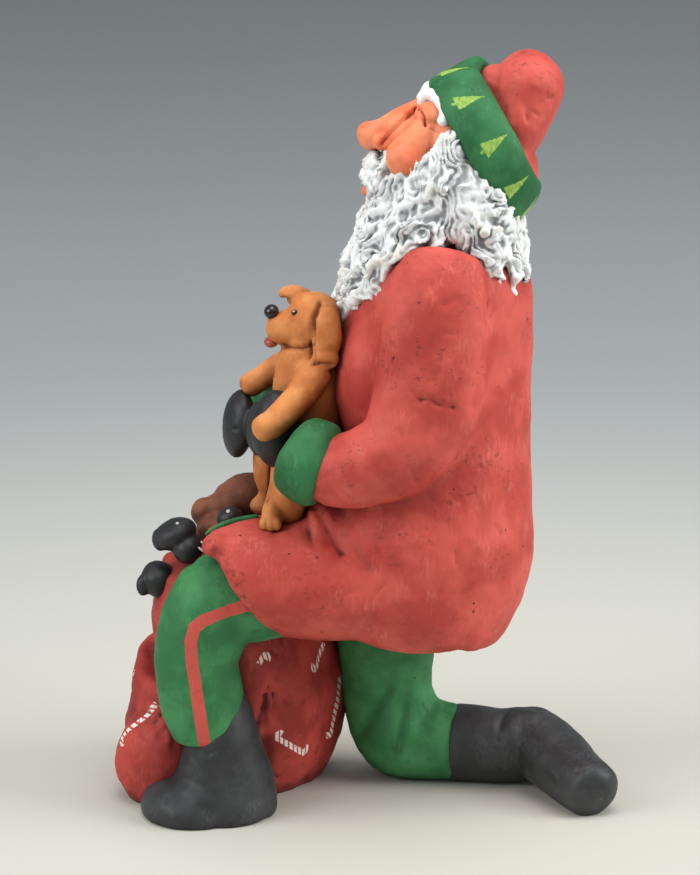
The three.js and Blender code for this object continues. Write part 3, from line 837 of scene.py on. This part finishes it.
def brows(white):
    """A smooth curl of white clay over each eye, pressed under the hat band."""
    path = [
        (4, 18.3, 237.6, 1.9),
        (7.5, 21.2, 240.3, 2.3),
        (11.5, 24, 239.4, 2.5),
        (15, 25.6, 236.4, 2.4),
        (17, 25, 233.6, 2),
    ]
    clay = Clay([limb(mirrored(path, hand), nose=0.8) for hand in SIDES], 0.35, softening=2)
    clay.uneven((3, 0.3), (1.2, 0.15), seed=9)
    clay.piece("brows", white, hollow_reach=12)


HAIR_ROOT = np.array([0, 22, 240])  # the hair and beard run away from here, seen from the side
BEARD = [
    (0, 29, 220, HEAD_HALF_WIDTH + 2.5, 16.5),
    (0, 26, 213, HEAD_HALF_WIDTH + 4, 19.5),
    (0, 22, 206, HEAD_HALF_WIDTH + 4.5, 19.5),
    (0, 16.5, 197, HEAD_HALF_WIDTH + 6.5, 17),
    (0, 9, 188, HEAD_HALF_WIDTH + 6, 14),
    (0, 2, 179, HEAD_HALF_WIDTH + 1, 9),
    (0, -4, 171.5, HEAD_HALF_WIDTH - 9, 5),
    (1, -7.5, 166, 6, 3.4),
]
BACK_HAIR = [
    (0, 37, 217, HEAD_HALF_WIDTH - 2, 9),
    (0, 37, 208, HEAD_HALF_WIDTH + 4, 11.5),
    (0, 37.5, 198, HEAD_HALF_WIDTH + 6, 12),
    (0, 39.5, 187, HEAD_HALF_WIDTH + 4, 13),
]


def locks(stations, turns, rows, spread, radius, length, seed):
    """Wavy locks laid down a skin: turns is the range round it, rows where they start."""
    chance = np.random.default_rng(seed)
    overhang = 8.0  # mm that a lock hangs free for each station past the last
    point = skin(stations)
    last = len(stations) - 1
    spine = np.array(stations, float)
    made = []
    for start in rows:
        width = spline(spine[:, 3:], np.array([float(start)]))[0][0].mean()
        count = max(3, int(abs(turns[1] - turns[0]) * width / spread))
        for k in range(count):
            turn = turns[0] + (turns[1] - turns[0]) * (k + chance.uniform(0.2, 0.8)) / count
            thick = radius * chance.uniform(0.75, 1.25)
            s = np.linspace(0, 1, 8)
            t = start + chance.uniform(-0.3, 0.3) + s * length * chance.uniform(0.7, 1.3)
            wave = np.sin(2 * math.pi * (s * chance.uniform(0.8, 1.5) + chance.uniform()))
            turned = turn + (wave * chance.uniform(1.0, 2.2) + s * chance.uniform(-3, 3)) / width
            inside = np.clip(t, 0, last)
            at = point(inside, turned, 1.0, 0.0, 0.1 * thick)
            run = spline(spine[:, :3], inside)[1]
            at = at + run * ((t - inside) * overhang)[:, None]
            size = thick * (0.6 + 0.4 * np.sin(math.pi * np.clip(s * 1.2, 0, 1))) * (1 - 0.45 * s**3)
            path = [tuple(row) for row in np.column_stack([at, size])]
            made.append(limb(path, around=8, nose=0.5, side=np.array([0.8, 0.5, 0.33])))
    return made


def combed(clay, back, seed):
    """Presses wavy strands into hair; they run away from its root, round the sides and front or back."""
    spacing, wander, height, sink = 3.4, 1.8, 1.9, 0.5
    skin_radius, clump_radius, clump_stretch = 32, 30, 2
    at = clay.points
    reach = np.hypot(at[:, 1] - HAIR_ROOT[1], at[:, 2] - HAIR_ROOT[2])
    turn = np.arctan2(at[:, 1] - HAIR_ROOT[1], HAIR_ROOT[2] - at[:, 2])
    along = np.stack([at[:, 0], turn * clump_radius, reach / clump_stretch], axis=1)
    phase = (turn * skin_radius + (-1 if back else 1) * np.abs(at[:, 0])) / spacing
    phase = phase + wander * noise(at, 7, seed) + 0.5 * wander * noise(at, 3.4, seed + 1)
    crest = 1 - np.abs(np.sin(math.pi * phase)) ** 0.8
    share = np.clip(0.7 + 0.85 * noise(along, 3.5, seed + 2), 0.15, 1.15)
    clay.swell(height * crest * share - sink)
    clay.uneven((2.2, 0.3), (1.1, 0.16), seed=seed)


def beard(white):
    quarter = math.pi / 2
    shells = [loft(BEARD, nose=0.1, tail=0.9)]
    rows = np.arange(0.3, 7.2, 1.0)
    shells += locks(BEARD, (-0.35, quarter), rows, 5.5, 2.1, 1.5, 11)
    shells += locks(BEARD, (2 * quarter + 0.35, quarter), rows, 5.5, 2.1, 1.5, 12)
    for hand in SIDES:
        shells += face_hair(hand)
    clay = Clay(shells, 0.54, softening=2)
    combed(clay, False, 31)
    clay.piece("beard", white, hollow_reach=12)


def back_hair(white):
    half = math.pi
    shells = [loft(BACK_HAIR, nose=0.1, tail=0.15)]
    rows = np.arange(0.2, 3.1, 0.7)
    for turns in ((-0.7, 0.7 - half), (-0.7, 0.6), (-half - 0.6, 0.7 - half)):
        shells += locks(BACK_HAIR, turns, rows, 5.0, 2.2, 0.9, 13)
    clay = Clay(shells, 0.56, softening=2)
    combed(clay, True, 41)
    clay.piece("back_hair", white, hollow_reach=12)


def face_hair(hand):
    """Sideburn and moustache on one side, and the hair that joins the sideburn to the back."""
    sideburn = [(19, 28.4, 229.5, 2.6, 3), (21, 27, 225, 3.8, 5.8), (21.5, 25.4, 215, 5, 7.2)]
    moustache = [
        (0, 3, 218.6, 2.6, 3),
        (6, 3.2, 215.4, 3.4, 3.6),
        (12, 6.4, 211.8, 3.8, 3.8),
        (18, 13.4, 211, 3.6, 3.6),
    ]
    behind = [(18.5, 33, 222, 4, 6), (21.5, 33, 213, 5, 8), (23, 32, 204, 5, 8), (23, 30, 197, 4, 7)]
    strands = [
        [(19.4, 27, 228.6, 1.2), (22.4, 26, 224.5, 2.0), (24.8, 24.8, 220, 2.2), (26, 24, 213, 1.8)],
        [(21, 26.4, 227, 1.4), (23.8, 23.8, 222.5, 2.1), (25, 22.2, 217, 2.1), (26, 19.4, 210, 1.6)],
        [(1, 1.2, 217.6, 1.2), (6.5, 0.2, 213.8, 1.6), (12.5, 4.0, 210.0, 1.8), (19.5, 10.8, 208.8, 1.4)],
        [(1, 2.8, 221, 1.1), (7, 3.0, 217.6, 1.5), (13, 5.6, 213.8, 1.6), (19.5, 12.8, 213, 1.3)],
    ]
    return [
        loft(mirrored(sideburn, hand), around=20),
        loft(mirrored(moustache, hand), side=FORWARD, around=20),
        loft(mirrored(behind, hand), around=20),
        *(limb(mirrored(s, hand), around=10, nose=0.6, side=np.array([0.3, 0.2, 0.93])) for s in strands),
    ]


def hat_band():
    """A rolled band round the head, wider at the rim by the face; the far side stands up over the crown."""
    around, section = 120, 32
    turn = np.repeat(np.arange(around) * 2 * math.pi / around, section)
    angle = np.tile(np.arange(section) * 2 * math.pi / section, around)
    far_top = 2 * np.clip(-np.cos(turn), 0, 1) * np.clip(-np.sin(turn), 0, 1)
    far_rise, far_flare = 3, 4.6
    lift = BAND_LIFT * np.clip(1 - np.sin(turn), 0, 1) + far_rise * far_top
    taper = BAND_TAPER - far_flare * far_top
    squarer = np.sign(np.cos(angle)) * np.abs(np.cos(angle)) ** 0.75
    flatter = np.sign(np.sin(angle)) * np.abs(np.sin(angle)) ** 0.8
    radius = BAND_RADIUS + BAND_HALF_THICKNESS * squarer - taper * flatter
    points = BAND_CENTRE + np.outer(radius * np.cos(turn), SIDEWAYS)
    points = points + np.outer((radius + BAND_LENGTHENING) * np.sin(turn), BAND_ALONG)
    points = points + np.outer(lift + BAND_HALF_WIDTH * flatter, BAND_NORMAL)
    i, j = np.meshgrid(np.arange(around), np.arange(section), indexing="ij")
    ni, nj = (i + 1) % around, (j + 1) % section
    quads = np.stack([i * section + j, ni * section + j, ni * section + nj, i * section + nj], axis=-1)
    clay = Clay([(points, quads.reshape(-1, 4).tolist())], 0.6, softening=3)
    clay.uneven((11, 0.5), (3, 0.14), seed=10)
    clay.piece("hat_band", tree_paint())


def hat_crown():
    crown = [
        (0, 43, 211, 11, 6),
        (0, 44.3, 221, 16.5, 9),
        (0, 47.7, 231, 17.3, 11.8),
        (0, 52.8, HEIGHT - 12, 15, 12),
    ]
    within_band = tuple(BAND_CENTRE + 4 * BAND_NORMAL)
    shells = [
        loft(crown, tail=1),
        lump((-3, 42.5, 243), (10, 6.5, 6)),
        lump(within_band, (BAND_RADIUS + 0.5, BAND_RADIUS + 2, 9), (-math.degrees(BAND_TILT), 0, 0)),
    ]
    clay = Clay(shells, 0.65, softening=7)
    clay.uneven((9, 0.5), (2.5, 0.16), seed=12)
    clay.groove([(4, 40, 246), (8, 46, 243), (14, 50, 240), (17, 53, 235)], 1.6, 0.7)
    clay.nicks(30, 2.5, 0.7, 0.5, 8)
    clay.piece("hat_crown", red_paint("hat_red_paint"))


def near_trousers():
    x = NEAR_LEG_X
    thigh = [
        (15, 4, 77, 16, 15),
        (19, -20, 77, 16, 14.5),
        (x - 1.5, -38, 75.5, 15, 16),
        (x - 1, -48, 75, 14.5, 15.8),
    ]
    shin = [
        (x, -49, 78, SHIN + 1, SHIN),
        (x, -53, 66, SHIN + 1.2, SHIN + 1.5),
        (x, -56, 54, SHIN, SHIN + 0.5),
        (x, -54.8, 42, SHIN, SHIN + 0.9),
        (x, -53, 34, SHIN, SHIN),
        (x, -52, 27.5, SHIN - 1, SHIN - 1.2),
    ]
    clay = Clay([loft(thigh, tail=0.9), loft(shin, tail=0.08)], 0.75, softening=6)
    clay.uneven((14, 0.6), (4, 0.2), seed=14)
    clay.nicks(8, 2, 0.7, 0.6, 9)
    stripe = [(-28, 79.8), (-47.6, 74), (-53, 71.8), (-56.1, 69), (-57.3, 64), (-57, 57), (-53, 27)]
    clay.piece("near_trousers", trouser_paint("near_trouser_paint", stripe, 1, x + 3))


def near_boot(charcoal):
    x = NEAR_LEG_X
    shaft = [
        (x, -47.6, 42.5, 9, 7),
        (x, -47.3, 36.5, 11.2, 9.4),
        (x, -47.3, 30, 12.8, 11.6),
        (x, -47.4, 21, 14.2, 14.2),
        (x, -47.3, 12, 16, 16.6),
        (x, -47.3, 4, 17.6, 17.6),
        (x, -47.3, -1.5, 17, 17),
    ]
    shells = [
        loft(shaft, 0.3, 0.1),
        lump((x + 1, -57.6, 2.6), (BOOT_HALF_WIDTH + 1, BOOT_HALF_WIDTH, 11)),
        lump((x + 1, -53, 6.5), (BOOT_HALF_WIDTH - 1, 14.5, 11)),
    ]
    clay = Clay([cut_by(shell, (0, 0, 0), (0, 0, -1)) for shell in shells], 0.65, softening=12)
    clay.uneven((13, 0.6), (4, 0.2), seed=16)
    clay.nicks(10, 3, 0.8, 0.4, 10)
    clay.stood().piece("near_boot", charcoal)


KNEE_FOLDS = [
    ([(0, 14.5, 35), (0, 13, 28), (0, 12.3, 22.6), (0, 9.7, 14)], 2.4, 1.7),
    ([(0, 7.5, 35), (0, 1.8, 25.8), (0, -1.2, 19)], 2.2, 1.5),
    ([(0, 24, 30), (0, 19, 23), (0, 17, 13)], 2.6, 1.1),
    ([(0, 2, 44), (0, 6, 40.2), (0, 9.5, 40.8)], 1.2, 0.8),
]


def far_trousers():
    x = FAR_LEG_X
    stations = [
        (x, 7, 66, SHIN + 3, SHIN + 4.5),
        (x, 7.4, 46, SHIN + 2, SHIN + 3),
        (x + 0.5, 8, 30, SHIN + 1.5, SHIN + 1.8),
        (x + 1.5, 13, 16.5, SHIN + 1.5, SHIN + 2.8),
        (x + 3, 24, 13, SHIN, SHIN + 0.4),
        (x + 4, 32, 12.5, SHIN - 1, SHIN - 0.6),
        (x + 4.5, 37, 12.5, SHIN - 2.5, SHIN - 2.5),
    ]
    clay = Clay([loft(stations)], 0.75, softening=3)
    clay.uneven((12, 0.8), (4, 0.25), seed=18)
    for path, width, depth in KNEE_FOLDS:
        for view in ((1, 0, 0), (-1, 0, 0)):
            clay.groove(path, width, depth, seen_from=view)
    clay.nicks(8, 3, 0.7, 0.6, 11)
    stripe = [(9, 70), (8, 40), (10, 26), (20, 14), (45, 12)]
    clay.stood().piece("far_trousers", trouser_paint("far_trouser_paint", stripe, -1, -x + 3))


def far_boot(charcoal):
    x = FAR_LEG_X
    shaft = [
        (x + 3.5, 31, 12.5, SHIN, SHIN),
        (x + 5, 40, 12.3, SHIN, SHIN - 0.2),
        (x + 6.5, 47, 12.3, SHIN - 0.3, SHIN - 0.5),
        (x + 8, 55, 13.5, SHIN - 1, SHIN - 0.5),
        (x + 10, 60, 14.5, SHIN - 3, SHIN - 2),
    ]
    foot = [
        (x + 3, 55.5, 14.8, 11, 13),
        (x + 13, 62, 12.8, 11.6, 12.4),
        (x + 26, 69, 10.2, 10.8, 11.2),
        (x + 39, 76, 8.2, 9.6, 9.4),
    ]
    clay = Clay([loft(shaft, nose=0.06), loft(foot, side=UPWARD)], 0.65, softening=4)
    clay.uneven((12, 0.6), (4, 0.2), seed=20)
    clay.groove([(-8, 50, 27), (-4, 48, 25), (0, 46.4, 22), (3, 46, 18)], 1.5, 1.3)
    clay.nicks(10, 3, 0.8, 0.4, 12)
    clay.stood().piece("far_boot", charcoal)


def sack():
    def folds(turn, share):
        low = 1.3 * np.sin(5 * turn + 2.5 * share) * share
        return low + 0.9 * np.sin(9 * turn - 4 * share) * (1 - share)

    stations = [
        (-12, -56, -2, 22, SACK_HALF_LENGTH - 14),
        (-11.5, -52, 8, 28, SACK_HALF_LENGTH - 3.6),
        (-12, -44, 24, 30, SACK_HALF_LENGTH + 0.5),
        (-12, -44, 40, 30, SACK_HALF_LENGTH - 0.8),
        (-9, -45, 52, 28, SACK_HALF_LENGTH - 6.5),
        (-5, -51, 65, 24, SACK_HALF_LENGTH - 15),
        (-3, -54, 80, 19, SACK_HALF_LENGTH - 23),
    ]
    shells = [loft(stations, 0.1, 0.1, SLANTING, folds, around=96), lump((6, -68.6, 13), (18, 16, 19))]
    clay = Clay(shells, 0.85, softening=7)
    clay.uneven((15, 0.8), (4, 0.35), seed=22)
    gash = [(15.6, -32.8, 41.6), (15.8, -33.4, 35.2), (16, -35.5, 29.5), (16, -37, 26)]
    clay.groove(gash, 1.3, 2.6)
    clay.groove([(15, -30.8, 39), (15, -31.2, 34)], 0.8, 1.2)
    clay.groove([(16, -34, 22), (16, -33, 14)], 3.0, 1.5)
    clay.roughen(gash, 4.5, 2, 0.7, 24)
    clay.roughen([(13, -70, 35), (17, -67, 26), (18, -68, 14)], 5, 1.8, 0.9, 25)
    clay.nicks(50, 4, 0.9, 0.5, 13)
    clay.stood().piece("sack", sack_paint())


def toes(clay, tip, gap, half_height):
    """Two lines that part the toes at the front of a paw."""
    x, y, z = tip
    for side in SIDES:
        levels = (z + half_height, z, z - half_height)
        clay.groove([(x + side * gap, y + 0.3 * abs(level - z), level) for level in levels], 0.7, 1.2)


def black_puppies(black):
    shells = [
        lump((0, -63.8, 90.4), (8, 7.6, 5), (18, 0, 0)),
        lump((0, -68.4, 88.8), (5.5, 3.2, 3.9)),
        lump((3, -59.4, 86.4), (6.5, 5.3, 5.2)),
        lump((0, -69.4, 74.4), (7.4, 5.8, 6.6), (20, 0, 0)),
        lump((3, -45, 97), (5.4, 4.6, 3.8)),
    ]
    shells += [lump((hand * 3.6, -74.6, 72.5 + hand * 0.6), (2.3, 2.4, 3.6)) for hand in (1, 0, -1)]
    clay = Clay(shells, 0.5, softening=3)
    clay.uneven((5, 0.3), (2, 0.12), seed=24)
    clay.piece("black_puppies", black)


def brown_puppy():
    shells = [
        lump((-15.5, -54.6, 93.6), (5.6, 4.8, 4.9)),
        lump((-16.5, -50, 94.5), (6.5, 5.4, 5)),
        loft([(-17, -46, 96.5, 8.5, 7), (-18, -41, 98, 9.4, 8.4), (-18, -33, 98, 9, 8.6)], nose=0.7),
        lump((-12, -49, 85.5), (9, 9, 10)),
    ]
    clay = Clay(shells, 0.55, softening=3)
    clay.uneven((7, 0.4), (2.4, 0.12), seed=25)
    paint = fur_paint("brown_fur", srgb(112, 62, 42), srgb(140, 82, 58), srgb(166, 108, 82), srgb(36, 16, 10))
    clay.piece("brown_puppy", paint)


# Near and far arm, near and far leg: x, y, z, radius
PUPPY_LIMBS = [
    [(13.5, -16, 151, 5.8), (19, -21.5, 143, 5.3), (23.5, -29, 136, 4.9), (24, -33, 133.6, PAW)],
    [(0, -20, 153, 5), (-3, -27, 148.4, 4.5), (-5, -34, 143.4, 4.2), (-5.5, -38, 140.8, PAW - 0.6)],
    [(15, -25, 119, 6), (15, -26, 112, 5.6), (17, -28, 107, 4.8), (20, -30, 104, 4), (24, -31, 102, 3.4)],
    [(-1, -31.5, 118, 5.8), (-1, -32, 111, 5.3), (-1.5, -31.6, 105, 4.3), (-2, -32.8, 101, PAW - 0.6)],
]


def golden_puppy():
    body = [
        (5, -23, 104, 9, 5),
        (5, -19, 112, 12, 9.5),
        (5, -18, 127, 11.5, 12),
        (6, -18.5, 141, 11, 12),
        (6, -18.5, 151, 10, 10.8),
        (6, -18, 159, 8.2, 8.4),
    ]
    muzzle = [(6, -19, 164, 7.5, 7.8), (6, -25, 163, 6.2, 6.6), (6, -29, 162.8, 4.8, 5.2)]
    shells = [
        loft(body),
        lump((6, -16.8, 165.5), (10.5, 9.6, 9.6)),
        loft(muzzle, tail=0.75),
        lump((16.2, -12.6, 162.6), (2.6, 5, 10), (-6, 0, 0)),
        lump((17, -13.2, 155), (2.8, 4.6, 3.4)),
        lump((-2, -23, 171.8), (5, 6, 3.4), (-12, 0, 0)),
        lump((17, -25, 108), (6.4, 6, 9.6)),
        lump((-2, -33.4, 99.8), (4.6, 5.6, 3.8)),
        *(lump((26, -31.2 + 2.3 * k, 101.2 + 0.3 * abs(k)), (2, 1.4, 2.3)) for k in (-1, 0, 1)),
        *(limb(path, around=24) for path in PUPPY_LIMBS),
    ]
    clay = Clay(shells, 0.52, softening=3)
    clay.uneven((6, 0.35), (1.8, 0.1), seed=26)
    toes(clay, (24, -37.4, 132.6), 1.7, 2.6)
    toes(clay, (-5.5, -41.8, 139.6), 1.5, 2)
    toes(clay, (-2, -39, 99.4), 1.6, 2.2)
    between_legs = [(14, -31, 119), (14, -31.3, 114), (14, -31.6, 109), (14, -32.4, 106.6)]
    clay.groove(between_legs, 0.6, 1.0, seen_from=FROM_THE_SIDE)
    ear = [(14, -14.5, 173), (14, -17, 168), (14, -17.2, 157), (14, -16.8, 152.6), (14, -11, 152)]
    jaw = [(14, -27, 158.8), (14, -20.6, 158.1), (14, -17.4, 158.8)]
    clay.groove(ear, 0.7, 1.3, seen_from=FROM_THE_SIDE)
    clay.groove(jaw, 0.8, 1.2, seen_from=FROM_THE_SIDE)
    clay.groove([(2, -26.4, 170.6), (-3, -27.2, 170.2), (-6, -25, 169.6)], 1.3, 2.0)
    clay.groove([(11.5, -28, 159.4), (9.4, -31.4, 160), (6, -33, 160.4)], 0.5, 0.7)
    deep, plain, worn = srgb(204, 120, 60), srgb(228, 148, 84), srgb(242, 180, 120)
    paint = fur_paint("golden_fur", deep, plain, worn, srgb(72, 26, 6))
    clay.piece("golden_puppy", paint)


def puppy_features():
    """Noses, eyes and a tongue, and white dots on them as painted highlights."""
    black = glossy_paint("gloss_black", srgb(24, 24, 26))
    Clay([lump((6, -30.8, 168.4), (3, 2.5, 2.5))], 0.25).piece("puppy_nose", black)
    eyes = [lump((6 + hand * 6.4, -23.0, 169.6), (0.9, 1.3, 1.0)) for hand in SIDES]
    Clay(eyes, 0.15).piece("puppy_eyes", black)
    tongue = Clay([lump((6, -31, 158.2), (3, 2.4, 1.8))], 0.25)
    tongue.piece("puppy_tongue", glossy_paint("tongue_paint", srgb(186, 84, 70), 0.4))
    # Painted highlights: white dots on the eyes, the noses and the black puppy's head, standing for glints of
    # light
    highlight_dots = [
        lump((6 + 7.1, -23.4, 170.1), (0.4, 0.4, 0.35)),
        lump((5.6, -45.6, 99.9), (1.2, 0.8, 0.7)),
        lump((3.4, -62.8, 95), (0.8, 0.7, 0.6)),
        limb([(9.4, -55.6, 88.6, 0.3), (9.6, -54.4, 87.6, 0.4), (9.4, -53, 86.6, 0.3)], around=10),
        limb([(8.6, -54.8, 90.4, 0.3), (8.8, -53.4, 89.4, 0.35), (8.4, -52.2, 88.6, 0.25)], around=10),
    ]
    Clay(highlight_dots, 0.16).piece("puppy_painted_highlights", glossy_paint("painted_highlight_white", WHITE, 0.4))


def make_figure():
    green = green_paint()
    white = hair_paint()
    charcoal = charcoal_paint("charcoal_paint", CHARCOAL_DEEP, CHARCOAL, CHARCOAL_WORN)
    # the boots' charcoal made darker, as painted shade for the mittens and the puppies in the sack
    black = charcoal_paint("shaded_black_paint", SHADED_BLACK_DEEP, SHADED_BLACK, SHADED_BLACK_WORN)
    coat()
    cuffs(green)
    trouser_sliver(green)
    mittens(black)
    face()
    brows(white)
    beard(white)
    back_hair(white)
    hat_band()
    hat_crown()
    near_trousers()
    near_boot(charcoal)
    far_trousers()
    far_boot(charcoal)
    sack()
    black_puppies(black)
    brown_puppy()
    golden_puppy()
    puppy_features()


# The stage, lights and camera, in metres


def floor():
    mesh = bpy.data.meshes.new("floor")
    reach, pale_until, darkest_from = 8, 90, 640
    corners = [(-reach, -reach, 0), (reach, -reach, 0), (reach, reach, 0), (-reach, reach, 0)]
    mesh.from_pydata(corners, [], [(0, 1, 2, 3)])
    made = bpy.data.objects.new("floor", mesh)
    bpy.context.scene.collection.objects.link(made)
    p = Paint("floor_paper", roughness=0.75, specular=0.2)
    # A pool of light painted on the floor: pale near the figure, greyer further out
    away = p.vector("LENGTH", p.at)
    colour = p.mix(p.ramp(away, pale_until, darkest_from), srgb(199, 198, 187), srgb(163, 168, 169))
    mesh.materials.append(p.finish(colour))


def softbox(name, place, size, watts, target=(0, 0, 0.12)):
    light = bpy.data.lights.new(name, "AREA")
    light.shape = "SQUARE"
    light.size = size
    light.energy = watts
    made = bpy.data.objects.new(name, light)
    made.location = place
    made.rotation_euler = (Vector(target) - Vector(place)).to_track_quat("-Z", "Y").to_euler()
    bpy.context.scene.collection.objects.link(made)


def studio():
    floor()
    softbox("above", (0.1, 0.1, 1.35), 1.0, 11)
    softbox("left", (0.5, -1.15, 0.85), 0.9, 12)
    softbox("right", (0.25, 1.3, 0.8), 0.9, 17)
    world = bpy.data.worlds.new("studio_air")
    bpy.context.scene.world = world
    world.use_nodes = True
    world.node_tree.nodes["Background"].inputs["Color"].default_value = (0.8, 0.84, 0.88, 1)
    world.node_tree.nodes["Background"].inputs["Strength"].default_value = 0.38


def camera():
    """A long lens 1.15 m away, 15 degrees above the figure's left side."""
    distance, rise, focal_pixels, picture_height, film = 1.15, math.radians(15), 3445, 875, 36
    lens = bpy.data.cameras.new("camera")
    lens.sensor_width = film
    lens.lens = focal_pixels / picture_height * film
    made = bpy.data.objects.new("camera", lens)
    target = (Vector((0, -5, 124)) + Vector(CENTRED)) * MM
    back = Vector((math.cos(rise), 0, math.sin(rise)))
    made.location = target + distance * back
    made.rotation_euler = (-back).to_track_quat("-Z", "Y").to_euler()
    bpy.context.scene.collection.objects.link(made)
    bpy.context.scene.camera = made


make_figure()
studio()
camera()
bpy.context.scene.view_settings.view_transform = "Standard"
